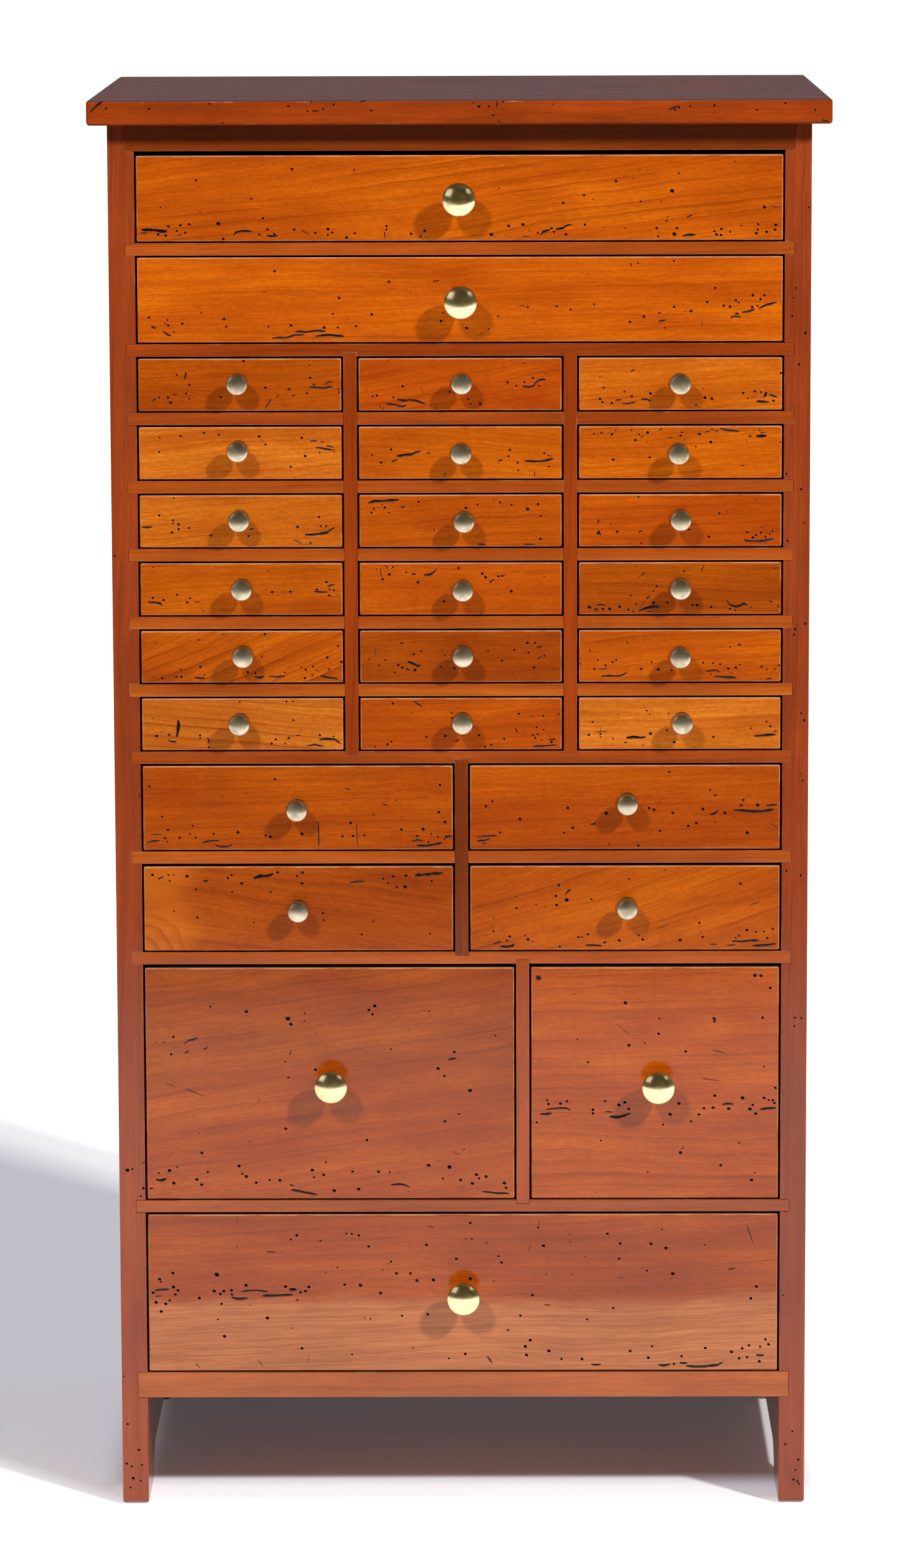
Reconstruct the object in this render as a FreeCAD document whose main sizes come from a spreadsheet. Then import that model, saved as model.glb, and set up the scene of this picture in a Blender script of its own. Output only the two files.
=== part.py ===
"""Watchmaker's parts cabinet: a tall narrow case of twenty-seven drawers.

Twelve rows of drawers stand between two side boards.  Thin shelves are housed in the
sides and double as the drawers' runners, and upright dividers split the rows.  Units
are millimetres.  Every piece is first modelled with the plane of the case's front at
Y = 0 and the floor at Z = 0, and each finished node is then placed so that the origin
lies on the floor under the middle of the whole cabinet, knobs included.
"""
import FreeCAD, Part
import math
import os
import Sketcher
from types import SimpleNamespace

# ---------------------------------------------------------------- driving dimensions

SIZES = {
    # case
    "case_width": (500, "over the two sides"),
    "case_depth": (368, "front of the case to its back"),
    "side_thickness": (19, "each side board"),
    "leg_height": (81, "floor to the underside of the bottom board"),
    "bottom_board": (19, "thickness of the board under the last drawer"),
    "top_rail": (19, "height of the two rails under the top"),
    "top_rail_depth": (55, "front to back, each top rail"),
    "shelf_thickness": (9, "each shelf between two rows"),
    "housing_depth": (7, "how far shelves enter the sides"),
    "divider_thickness": (9.7, "each upright divider"),
    "divider_housing": (3, "how far dividers enter the shelves above and below"),
    "back_thickness": (6, "back panel"),
    "back_lap": (9, "how far the back panel laps onto each side board"),
    "back_lift": (25, "floor to the lower edge of the back panel"),
    "foot_depth": (70, "length of each foot along the floor"),
    "arch_height": (24.5, "height of the cut-out between the feet"),
    "foot_chamfer": (3, "worn corner at the outer end of each foot"),
    # top board
    "top_thickness": (18, "top board"),
    "top_side_overhang": (13.5, "past each side"),
    "top_front_overhang": (18, "past the front of the case"),
    "top_edge_radius": (2.5, "rounding of the top board's edges"),
    # heights of the openings, from the top row down
    "row_01": (65, "first wide drawer"),
    "row_02": (63, "second wide drawer"),
    "small_row": (40, "each of the six rows of small drawers"),
    "row_09": (64, "upper pair of half-width drawers"),
    "row_10": (65, "lower pair of half-width drawers"),
    "large_row": (175, "the two large drawers"),
    "deep_row": (120, "full-width drawer at the bottom"),
    "large_divider_offset": (44, "divider of the large drawers, right of the middle"),
    # gaps round the drawer fronts
    "side_gap": (1.3, "each side of a drawer"),
    "bottom_gap": (1, "under a drawer front"),
    "runner_gap": (0.3, "under a drawer's sides, where it slides"),
    "top_gap_01": (3.2, "over the first wide drawer"),
    "top_gap_02": (1.4, "over the second wide drawer"),
    "top_gap_small": (1.4, "over each small drawer"),
    "top_gap_09": (1.6, "over the upper half-width drawers"),
    "top_gap_10": (2.2, "over the lower half-width drawers"),
    "top_gap_large": (2.8, "over the large drawers"),
    "top_gap_deep": (1.9, "over the bottom drawer"),
    # drawer boxes
    "front_thickness": (12, "drawer front"),
    "front_ease": (1.1, "rounding of the front's edges"),
    "front_lap": (4, "wood left in front of the sides at a front's ends"),
    "drawer_length": (352, "face of the front to the ends of the sides"),
    "small_board": (6.5, "sides and back of the shallow drawers"),
    "large_board": (9, "sides and back of the two deepest sizes"),
    "board_drop": (2.5, "sides lower than the top of the front"),
    "bottom_panel": (4, "drawer bottom"),
    "bottom_inset": (4, "lower edge of the front to the drawer bottom"),
    "groove_depth": (2.5, "groove that holds the drawer bottom"),
    # knobs and their screws
    "small_knob_length": (18.2, "how far a small knob stands out"),
    "small_knob_radius": (7.6, "its head"),
    "small_flange_radius": (7, "its foot, against the drawer"),
    "small_flange_thickness": (1.8, "its foot"),
    "small_waist_radius": (3.3, "its waist"),
    "small_rim_back": (11.5, "drawer face to the back of the head's rim"),
    "small_rim_front": (14.5, "drawer face to the front of the head's rim"),
    "small_face_radius": (5.5, "the shallow dome inside the head's rounded rim"),
    "small_face_rise": (0.8, "height of that shallow dome"),
    "small_rim_round": (3, "rounding between rim and dome"),
    "large_knob_length": (26, "how far a large knob stands out"),
    "large_knob_radius": (11.9, "its domed head"),
    "large_dome_rise": (4.6, "height of the dome"),
    "large_rim": (1, "thickness of the rim behind the dome"),
    "large_flange_radius": (7.8, "its foot, against the drawer"),
    "large_flange_thickness": (2, "its foot"),
    "large_waist_radius": (4.4, "its waist"),
    "large_head_back": (12, "drawer face to where the head begins"),
    "screw_radius": (2, "shank of the screw that holds a knob"),
    "screw_clearance": (0.2, "round the shank, in the drawer front"),
    "screw_grip": (8, "length of screw inside the knob"),
    "screw_head_radius": (3.8, "its head, inside the drawer"),
    "screw_head_height": (2.4, "its head"),
}

# Hand-drilled knobs stand a little off the middle of their drawers: (across, up).
KNOB_OFFSETS = {
    "01": (-0.5, 0), "02": (0.5, -0.5),
    "03_left": (-1.5, 1.5), "03_middle": (1, 1.5), "03_right": (-0.5, 1),
    "04_left": (-1.5, 2.5), "04_middle": (0.5, 0.5), "04_right": (-1.5, 0),
    "05_left": (-1, 1.5), "05_middle": (2.5, 0.5), "05_right": (0, 1.5),
    "06_left": (0.5, 1), "06_middle": (1.5, 0), "06_right": (0, 1),
    "07_left": (1, 1.5), "07_middle": (1.5, 1.5), "07_right": (0, 0.5),
    "08_left": (-2, 1.5), "08_middle": (1, 2), "08_right": (1.5, 1.5),
    "09_left": (-0.5, 0), "09_right": (1.5, 4),
    "10_left": (0, 0), "10_right": (1.5, 1.5),
    "11_left": (1, 1.5), "11_right": (2, 0.5),
    "12": (0.5, 0),
}

SHEET = "Sizes"
doc = FreeCAD.newDocument("PartsCabinet")
sheet = doc.addObject("Spreadsheet::Sheet", SHEET)


class Size:
    """A length that carries its value and the sheet expression it is worked out by."""

    def __init__(self, text, value):
        self.text = text
        self.value = value

    def _with(self, sign, other, value):
        return Size(f"({self.text} {sign} {as_size(other).text})", value)

    def __add__(self, other):
        return self._with("+", other, self.value + as_size(other).value)

    def __sub__(self, other):
        return self._with("-", other, self.value - as_size(other).value)

    def __mul__(self, other):
        return self._with("*", other, self.value * as_size(other).value)

    def __truediv__(self, other):
        return self._with("/", other, self.value / as_size(other).value)

    def __neg__(self):
        return ZERO - self


def as_size(length):
    return length if isinstance(length, Size) else Size(str(length), length)


def largest(first, second):
    return Size(f"max({first.text}; {second.text})", max(first.value, second.value))


ZERO = Size("0", 0)


def enter_sizes():
    """Write every driving dimension into the sheet and hand them back by name."""
    entries = dict(SIZES)
    for place, (across, up) in KNOB_OFFSETS.items():
        entries[f"knob_{place}_across"] = (across, "knob off the middle, to the right")
        entries[f"knob_{place}_up"] = (up, "knob off the middle, upwards")
    named = {}
    for row, (name, (value, note)) in enumerate(entries.items(), start=1):
        sheet.set(f"A{row}", name)
        sheet.set(f"B{row}", str(value))
        sheet.set(f"C{row}", note)
        sheet.setAlias(f"B{row}", name)
        named[name] = Size(f"{SHEET}.{name}", value)
    return SimpleNamespace(**named)


size = enter_sizes()
doc.recompute()


# ---------------------------------------------------------------- modelling helpers

def bind(feature, **properties):
    """Bind properties such as Length to sizes; a double underscore stands for a dot."""
    for name, length in properties.items():
        feature.setExpression(name.replace("__", "."), as_size(length).text)


def board(name, corner, extent):
    """A plain board with its lowest corner at corner, as large as extent."""
    box = doc.addObject("Part::Box", name)
    bind(box, Length=extent[0], Width=extent[1], Height=extent[2])
    bind(box, Placement__Base__x=corner[0], Placement__Base__y=corner[1],
         Placement__Base__z=corner[2])
    return box


def cut(name, base, tools):
    """base with every tool taken away."""
    if len(tools) > 1:
        tool = doc.addObject("Part::Compound", f"{name}_tools")
        tool.Links = tools
    else:
        tool = tools[0]
    result = doc.addObject("Part::Cut", name)
    result.Base = base
    result.Tool = tool
    return result


def body_plane(body, role):
    return next(item for item in body.Origin.OriginFeatures if item.Role == role)


def add_sketch(body, name, role):
    """An empty sketch on one of the body's own origin planes."""
    drawing = body.newObject("Sketcher::SketchObject", name)
    drawing.AttachmentSupport = [(body_plane(body, role), "")]
    drawing.MapMode = "FlatFace"
    return drawing


def pin_point(drawing, piece, end, corner):
    """Hold one end of a sketch piece at a corner given by two sizes."""
    for kind, axis, length in (("DistanceX", "x", corner[0]), ("DistanceY", "y", corner[1])):
        length = as_size(length)
        index = drawing.addConstraint(Sketcher.Constraint(kind, -1, 1, piece, end, length.value))
        name = f"{axis}{index}"
        drawing.renameConstraint(index, name)
        drawing.setExpression(f"Constraints.{name}", length.text)


def arc_between(start, end, radius, turn):
    """The arc from start to end, and whether it runs from start (turn is +1 for a
    centre on the left of the way, -1 for the right)."""
    middle = (start + end) / 2
    way = end - start
    left = FreeCAD.Vector(-way.y, way.x, 0) / way.Length
    rise = math.sqrt(max(radius ** 2 - (way.Length / 2) ** 2, 0))
    centre = middle + left * (rise * turn)
    first, last = (start, end) if turn > 0 else (end, start)
    angles = [math.atan2(point.y - centre.y, point.x - centre.x) for point in (first, last)]
    if angles[1] < angles[0]:
        angles[1] += 2 * math.pi
    circle = Part.Circle(centre, FreeCAD.Vector(0, 0, 1), radius)
    return Part.ArcOfCircle(circle, angles[0], angles[1])


def draw_outline(drawing, corners, arcs=None):
    """A closed outline through corners; arcs gives (radius, turn) for the stretch that
    leaves the corner of that number."""
    arcs = arcs or {}
    points = [FreeCAD.Vector(as_size(across).value, as_size(up).value, 0)
              for across, up in corners]
    ends = []
    for number, start in enumerate(points):
        end = points[(number + 1) % len(points)]
        if number in arcs:
            radius, turn = arcs[number]
            piece = drawing.addGeometry(arc_between(start, end, radius.value, turn), False)
            ends.append((piece, 1, 2) if turn > 0 else (piece, 2, 1))
            index = drawing.addConstraint(Sketcher.Constraint("Radius", piece, radius.value))
            drawing.renameConstraint(index, f"radius{index}")
            drawing.setExpression(f"Constraints.radius{index}", radius.text)
        else:
            piece = drawing.addGeometry(Part.LineSegment(start, end), False)
            ends.append((piece, 1, 2))
    for number, (piece, first, last) in enumerate(ends):
        next_piece, next_first, _ = ends[(number + 1) % len(ends)]
        drawing.addConstraint(
            Sketcher.Constraint("Coincident", piece, last, next_piece, next_first))
        pin_point(drawing, piece, first, corners[number])


def rectangle(left, low, right, high):
    return [(left, low), (right, low), (right, high), (left, high)]


def pad(body, drawing, length, reverse):
    feature = body.newObject("PartDesign::Pad", f"{body.Name}_pad")
    feature.Profile = drawing
    feature.Reversed = reverse
    bind(feature, Length=length)
    drawing.Visibility = False
    return feature


def pocket(body, name, drawing, depth, reverse):
    """Cut the sketch's outlines depth deep, and make sure that wood was removed."""
    feature = body.newObject("PartDesign::Pocket", name)
    feature.Profile = drawing
    feature.Reversed = reverse
    bind(feature, Length=depth)
    drawing.Visibility = False
    return feature


def round_edges(body, feature, edges, radius):
    fillet = body.newObject("PartDesign::Fillet", f"{body.Name}_rounding")
    fillet.Base = (feature, edges)
    bind(fillet, Radius=radius)
    return fillet


NODES = []


def node(label, members, x=ZERO, y=ZERO, z=ZERO):
    """One named sub-part of the cabinet, holding its solids side by side."""
    group = doc.addObject("Part::Compound", label)
    group.Label = label
    group.Links = members
    bind(group, Placement__Base__x=x, Placement__Base__y=y + front_plane, Placement__Base__z=z)
    NODES.append(group)
    return group


# ---------------------------------------------------------------- worked-out sizes

knob_reach = largest(size.large_knob_length, size.top_front_overhang)
front_plane = (knob_reach - size.case_depth) / 2
inner_width = size.case_width - size.side_thickness * 2
half_inner = inner_width / 2
inner_depth = size.case_depth - size.back_thickness
bottom_top = size.leg_height + size.bottom_board

# Row names from the bottom up, with the height of each opening.
ROWS = [("12", size.deep_row), ("11", size.large_row), ("10", size.row_10), ("09", size.row_09),
        ("08", size.small_row), ("07", size.small_row), ("06", size.small_row),
        ("05", size.small_row), ("04", size.small_row), ("03", size.small_row),
        ("02", size.row_02), ("01", size.row_01)]

row_floor = {}
row_ceiling = {}
level = bottom_top
for row, height in ROWS:
    row_floor[row] = level
    row_ceiling[row] = level + height
    level = level + height + size.shelf_thickness
rail_floor = row_ceiling["01"]
case_top = rail_floor + size.top_rail

small_opening = (inner_width - size.divider_thickness * 2) / 3
small_pitch = small_opening + size.divider_thickness
half_opening = (inner_width - size.divider_thickness) / 2
half_pitch = (half_opening + size.divider_thickness) / 2
divider_half = size.divider_thickness / 2
large_left_opening = half_inner + size.large_divider_offset - divider_half
large_right_opening = half_inner - size.large_divider_offset - divider_half
large_left_middle = large_left_opening / 2 - half_inner
large_right_middle = half_inner - large_right_opening / 2
halving = inner_depth / 2


# ---------------------------------------------------------------- case

def make_top_board():
    """The top: one board, rounded on every edge, level with the case at the back."""
    body = doc.addObject("PartDesign::Body", "top_body")
    drawing = add_sketch(body, "top_outline", "XY_Plane")
    half = size.case_width / 2 + size.top_side_overhang
    draw_outline(drawing, rectangle(-half, -size.top_front_overhang, half, size.case_depth))
    slab = pad(body, drawing, size.top_thickness, False)
    doc.recompute()
    edges = [f"Edge{number + 1}" for number in range(len(slab.Shape.Edges))]
    round_edges(body, slab, edges, size.top_edge_radius)
    node("top_board", [body], z=case_top)


def side_outline():
    """Side board seen from the side: front foot, arch, back foot, back and top."""
    arch_front = size.foot_depth + size.arch_height
    arch_back = size.case_depth - arch_front
    corners = [
        (size.foot_chamfer, ZERO),
        (size.foot_depth, ZERO),
        (arch_front, size.arch_height),
        (arch_back, size.arch_height),
        (size.case_depth - size.foot_depth, ZERO),
        (size.case_depth - size.foot_chamfer, ZERO),
        (size.case_depth, size.foot_chamfer),
        (size.case_depth, case_top),
        (ZERO, case_top),
        (ZERO, size.foot_chamfer),
    ]
    return corners, {1: (size.arch_height, -1), 3: (size.arch_height, -1)}


def shelf_levels():
    """Lower face and thickness of everything that is housed in the sides."""
    levels = [(size.leg_height, size.bottom_board), (rail_floor, size.top_rail)]
    for row, _ in ROWS[:-1]:
        levels.append((row_ceiling[row], size.shelf_thickness))
    return levels


def make_side(label, outward):
    """A side board, housed for the shelves on its inner face; outward is -1 for the
    left one and +1 for the right one."""
    body = doc.addObject("PartDesign::Body", f"{label}_body")
    drawing = add_sketch(body, f"{label}_outline", "YZ_Plane")
    corners, arcs = side_outline()
    draw_outline(drawing, corners, arcs)
    pad(body, drawing, size.side_thickness, outward < 0)

    housings = add_sketch(body, f"{label}_housings", "YZ_Plane")
    for low, thickness in shelf_levels():
        draw_outline(housings, rectangle(ZERO, low, inner_depth, low + thickness))
    pocket(body, f"{label}_housing_cuts", housings, size.housing_depth, outward > 0)

    rebate = add_sketch(body, f"{label}_rebate", "YZ_Plane")
    draw_outline(rebate, rectangle(inner_depth, size.back_lift, size.case_depth, case_top))
    pocket(body, f"{label}_rebate_cut", rebate, size.back_lap, outward > 0)
    node(label, [body], x=half_inner * outward)


def make_back():
    """Back panel, set in the rebates of the sides from the top board down to the feet."""
    reach = half_inner + size.back_lap
    panel = board("back_board", (-reach, inner_depth, size.back_lift),
                  (reach * 2, size.back_thickness, case_top - size.back_lift))
    node("back_panel", [panel])


# Each divider: name, middle, lowest and highest row that it splits.
DIVIDERS = [
    ("small_left_divider", -small_pitch / 2, "08", "03"),
    ("small_right_divider", small_pitch / 2, "08", "03"),
    ("half_divider", ZERO, "10", "09"),
    ("large_divider", size.large_divider_offset, "11", "11"),
]
ROW_ORDER = [row for row, _ in ROWS]


def rows_between(lowest, highest):
    return ROW_ORDER[ROW_ORDER.index(lowest):ROW_ORDER.index(highest) + 1]


def make_dividers():
    """Upright dividers, let into the shelf above and below.  Where one passes a shelf
    the two are halved together: the divider is whole in front and slotted behind."""
    members = []
    for name, middle, lowest, highest in DIVIDERS:
        low = row_floor[lowest] - size.divider_housing
        high = row_ceiling[highest] + size.divider_housing
        upright = board(name, (middle - divider_half, ZERO, low),
                        (size.divider_thickness, inner_depth, high - low))
        slots = [board(f"{name}_slot_{row}", (middle - divider_half, halving, row_ceiling[row]),
                       (size.divider_thickness, inner_depth - halving, size.shelf_thickness))
                 for row in rows_between(lowest, highest)[:-1]]
        members.append(cut(f"{name}_halved", upright, slots) if slots else upright)
    node("dividers", members)


def shelf_cuts(row):
    """Slots and housings in the shelf above a row, for the dividers that meet it."""
    low = row_ceiling[row]
    row_above = ROW_ORDER[ROW_ORDER.index(row) + 1]
    cuts = []
    for name, middle, lowest, highest in DIVIDERS:
        left = middle - divider_half
        if row in rows_between(lowest, highest)[:-1]:
            cuts.append(board(f"shelf_{row}_slot_{name}", (left, ZERO, low),
                              (size.divider_thickness, halving, size.shelf_thickness)))
        elif row == highest:
            cuts.append(board(f"shelf_{row}_under_{name}", (left, ZERO, low),
                              (size.divider_thickness, inner_depth, size.divider_housing)))
        elif row_above == lowest:
            top = low + size.shelf_thickness - size.divider_housing
            cuts.append(board(f"shelf_{row}_over_{name}", (left, ZERO, top),
                              (size.divider_thickness, inner_depth, size.divider_housing)))
    return cuts


def make_shelves():
    """Shelves, bottom board and the two rails that the top is screwed to."""
    reach = half_inner + size.housing_depth
    span = reach * 2
    members = [board("bottom_shelf", (-reach, ZERO, size.leg_height),
                     (span, inner_depth, size.bottom_board))]
    for row, _ in ROWS[:-1]:
        shelf = board(f"shelf_over_{row}", (-reach, ZERO, row_ceiling[row]),
                      (span, inner_depth, size.shelf_thickness))
        cuts = shelf_cuts(row)
        members.append(cut(f"shelf_over_{row}_cut", shelf, cuts) if cuts else shelf)
    rail = (span, size.top_rail_depth, size.top_rail)
    members.append(board("front_top_rail", (-reach, ZERO, rail_floor), rail))
    members.append(board("back_top_rail", (-reach, inner_depth - size.top_rail_depth, rail_floor),
                         rail))
    node("shelves", members)


# ---------------------------------------------------------------- drawers

def make_front(name, width, low, high, side_board):
    """Drawer front: eased face, rebated ends for the sides, groove for the bottom."""
    half = width / 2
    body = doc.addObject("PartDesign::Body", f"{name}_front")
    drawing = add_sketch(body, f"{name}_front_outline", "XZ_Plane")
    draw_outline(drawing, rectangle(-half, low, half, high))
    slab = pad(body, drawing, size.front_thickness, True)
    doc.recompute()
    face = next(f"Face{number + 1}" for number, item in enumerate(slab.Shape.Faces)
                if abs(item.CenterOfMass.y) < 1e-6)
    round_edges(body, slab, [face], size.front_ease)

    for kind, outlines, depth in (
        ("rebates", [rectangle(-half, low, -half + side_board, high),
                     rectangle(half - side_board, low, half, high)],
         size.front_thickness - size.front_lap),
        ("groove", [rectangle(-half + side_board - size.groove_depth, low + size.bottom_inset,
                              half - side_board + size.groove_depth,
                              low + size.bottom_inset + size.bottom_panel)],
         size.groove_depth),
    ):
        drawing = add_sketch(body, f"{name}_{kind}", "XZ_Plane")
        drawing.setExpression("AttachmentOffset.Base.z", (-size.front_thickness).text)
        for corners in outlines:
            draw_outline(drawing, corners)
        pocket(body, f"{name}_{kind}_cut", drawing, depth, True)
    return body


def make_drawer_boards(name, width, height, top_gap, side_board):
    """The five boards of one size of drawer, its opening's floor at Z = 0."""
    low = size.bottom_gap
    high = height - top_gap
    half = width / 2
    panel_low = low + size.bottom_inset
    panel_high = panel_low + size.bottom_panel
    side_high = high - size.board_drop
    side_length = size.drawer_length - size.front_lap
    inner_half = half - side_board
    groove = (size.groove_depth, size.drawer_length - size.front_thickness, size.bottom_panel)

    front = make_front(name, width, low, high, side_board)
    sides = []
    for hand, outer, groove_x in (("left", -half, -inner_half - size.groove_depth),
                                  ("right", inner_half, inner_half)):
        plank = board(f"{name}_{hand}_plank", (outer, size.front_lap, size.runner_gap),
                      (side_board, side_length, side_high - size.runner_gap))
        slot = board(f"{name}_{hand}_slot", (groove_x, size.front_thickness, panel_low), groove)
        sides.append(cut(f"{name}_{hand}", plank, [slot]))
    back = board(f"{name}_back", (-inner_half, size.drawer_length - side_board, panel_high),
                 (inner_half * 2, side_board, side_high - panel_high))
    panel = board(f"{name}_panel",
                  (-inner_half - size.groove_depth, size.front_thickness - size.groove_depth,
                   panel_low),
                  ((inner_half + size.groove_depth) * 2,
                   size.drawer_length - size.front_thickness + size.groove_depth,
                   size.bottom_panel))
    return SimpleNamespace(front=front, others=[*sides, back, panel], middle=(low + high) / 2)


def revolve_knob(name, corners, arcs):
    """A turned brass knob: its foot at Y = 0, standing out towards -Y."""
    body = doc.addObject("PartDesign::Body", name)
    drawing = add_sketch(body, f"{name}_profile", "XY_Plane")
    draw_outline(drawing, corners, arcs)
    turned = body.newObject("PartDesign::Revolution", f"{name}_turned")
    turned.Profile = drawing
    turned.ReferenceAxis = (drawing, ["V_Axis"])
    turned.Angle = 360
    drawing.Visibility = False
    return body


def arc_radius(half_chord, rise):
    """Radius of the arc that rises this much over half its chord."""
    return (half_chord * half_chord + rise * rise) / (rise * 2)


def make_small_knob():
    """Knob with a rounded rim and a shallow dome, coved in to a waist over a broad
    foot.  The hole for its screw is left in the profile."""
    hole = size.screw_radius
    face_start = size.small_knob_length - size.small_face_rise
    dome = arc_radius(size.small_face_radius, size.small_face_rise)
    cove_depth = (size.small_knob_radius + size.small_flange_radius) / 2 - size.small_waist_radius
    cove = arc_radius((size.small_rim_back - size.small_flange_thickness) / 2, cove_depth)
    corners = [
        (hole, ZERO),
        (hole, -size.screw_grip),
        (ZERO, -size.screw_grip),
        (ZERO, -size.small_knob_length),
        (size.small_face_radius, -face_start),
        (size.small_knob_radius, -size.small_rim_front),
        (size.small_knob_radius, -size.small_rim_back),
        (size.small_flange_radius, -size.small_flange_thickness),
        (size.small_flange_radius, ZERO),
    ]
    arcs = {3: (dome, 1), 4: (size.small_rim_round, 1), 6: (cove, -1)}
    return revolve_knob("small_knob", corners, arcs)


def make_large_knob():
    """Mushroom knob: a polished dome, its underside swept in to a slim waist over a
    narrow foot."""
    hole = size.screw_radius
    rim_front = size.large_knob_length - size.large_dome_rise
    rim_back = rim_front - size.large_rim
    dome = arc_radius(size.large_knob_radius, size.large_dome_rise)
    sweep = arc_radius(rim_back - size.large_head_back,
                       size.large_knob_radius - size.large_waist_radius)
    corners = [
        (hole, ZERO),
        (hole, -size.screw_grip),
        (ZERO, -size.screw_grip),
        (ZERO, -size.large_knob_length),
        (size.large_knob_radius, -rim_front),
        (size.large_knob_radius, -rim_back),
        (size.large_waist_radius, -size.large_head_back),
        (size.large_waist_radius, -size.large_flange_thickness * 2),
        (size.large_flange_radius, -size.large_flange_thickness),
        (size.large_flange_radius, ZERO),
    ]
    arcs = {3: (dome, 1), 5: (sweep, 1)}
    return revolve_knob("large_knob", corners, arcs)


def make_screw():
    """Screw through a drawer front into its knob, its head inside the drawer."""
    shank = doc.addObject("Part::Cylinder", "screw_shank")
    head = doc.addObject("Part::Cylinder", "screw_head")
    flat = FreeCAD.Rotation(FreeCAD.Vector(1, 0, 0), -90)
    shank.Placement.Rotation = flat
    head.Placement.Rotation = flat
    bind(shank, Radius=size.screw_radius, Height=size.screw_grip + size.front_thickness,
         Placement__Base__y=-size.screw_grip)
    bind(head, Radius=size.screw_head_radius, Height=size.screw_head_height,
         Placement__Base__y=size.front_thickness)
    screw = doc.addObject("Part::Fuse", "knob_screw")
    screw.Base = shank
    screw.Tool = head
    return screw


def make_drawer(place, boards, knob, screw, x, z):
    """One drawer and its knob, as two nodes."""
    across = getattr(size, f"knob_{place}_across")
    up = getattr(size, f"knob_{place}_up") + boards.middle
    bore = doc.addObject("Part::Cylinder", f"bore_{place}")
    bore.Placement.Rotation = FreeCAD.Rotation(FreeCAD.Vector(1, 0, 0), -90)
    bind(bore, Radius=size.screw_radius + size.screw_clearance, Height=size.front_thickness,
         Placement__Base__x=across, Placement__Base__z=up)
    front = cut(f"front_{place}", boards.front, [bore])
    node(f"drawer_{place}", [front, *boards.others], x=x, z=z)
    node(f"knob_{place}", [knob, screw], x=x + across, z=z + up)


def make_all_drawers():
    """Every drawer of the case: boards once for each size, then one copy a place."""
    small_knob = make_small_knob()
    large_knob = make_large_knob()
    screw = make_screw()
    thin, thick = size.small_board, size.large_board
    small_columns = {"left": -small_pitch, "middle": ZERO, "right": small_pitch}
    half_columns = {"left": -half_pitch, "right": half_pitch}
    # size of drawer: opening width, opening height, top gap, side board, knob, places
    drawers = {
        "wide_01": (inner_width, size.row_01, size.top_gap_01, thin, large_knob,
                    {"01": (ZERO, "01")}),
        "wide_02": (inner_width, size.row_02, size.top_gap_02, thin, large_knob,
                    {"02": (ZERO, "02")}),
        "small": (small_opening, size.small_row, size.top_gap_small, thin, small_knob,
                  {f"{row}_{column}": (x, row)
                   for row in ("03", "04", "05", "06", "07", "08")
                   for column, x in small_columns.items()}),
        "half_09": (half_opening, size.row_09, size.top_gap_09, thin, small_knob,
                    {f"09_{column}": (x, "09") for column, x in half_columns.items()}),
        "half_10": (half_opening, size.row_10, size.top_gap_10, thin, small_knob,
                    {f"10_{column}": (x, "10") for column, x in half_columns.items()}),
        "large_left": (large_left_opening, size.large_row, size.top_gap_large, thick, large_knob,
                       {"11_left": (large_left_middle, "11")}),
        "large_right": (large_right_opening, size.large_row, size.top_gap_large, thick,
                        large_knob, {"11_right": (large_right_middle, "11")}),
        "deep": (inner_width, size.deep_row, size.top_gap_deep, thick, large_knob,
                 {"12": (ZERO, "12")}),
    }
    for name, (opening, height, top_gap, side_board, knob, places) in drawers.items():
        boards = make_drawer_boards(name, opening - size.side_gap * 2, height, top_gap,
                                    side_board)
        for place, (x, row) in places.items():
            make_drawer(place, boards, knob, screw, x, row_floor[row])


# ---------------------------------------------------------------- build and write

def check_document():
    """Stop at the first feature that failed to build."""
    for item in doc.Objects:
        if "Invalid" in item.State or "Error" in item.State:
            raise RuntimeError(f"{item.Label} failed: {item.State}")
    for item in doc.Objects:
        if item.TypeId == "PartDesign::Pocket":
            removed = item.BaseFeature.Shape.Volume - item.Shape.Volume
            if removed <= 0:
                raise RuntimeError(f"{item.Label} cuts nothing")
    for item in NODES:
        shape = item.Shape
        if shape.isNull() or not shape.isValid() or not shape.Solids:
            raise RuntimeError(f"{item.Label} has no valid solid")


def write_nodes():
    os.makedirs("parts", exist_ok=True)
    for item in NODES:
        item.Shape.exportStep(f"parts/{item.Label}.step")


make_top_board()
make_side("left_side", -1)
make_side("right_side", 1)
make_back()
make_shelves()
make_dividers()
make_all_drawers()
doc.recompute()
check_document()
write_nodes()
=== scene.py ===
"""Watchmaker's parts cabinet: the finish of its case, drawers and brass knobs.

The case boards are copies of the fitted boards with worn edges.  The drawer fronts,
drawer boxes, knobs and screws are modelled here.  Lengths in the tables are in
millimetres; the model itself is in metres.
"""
import bmesh
import bpy
import math
import random
from mathutils import Matrix, Vector


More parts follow.
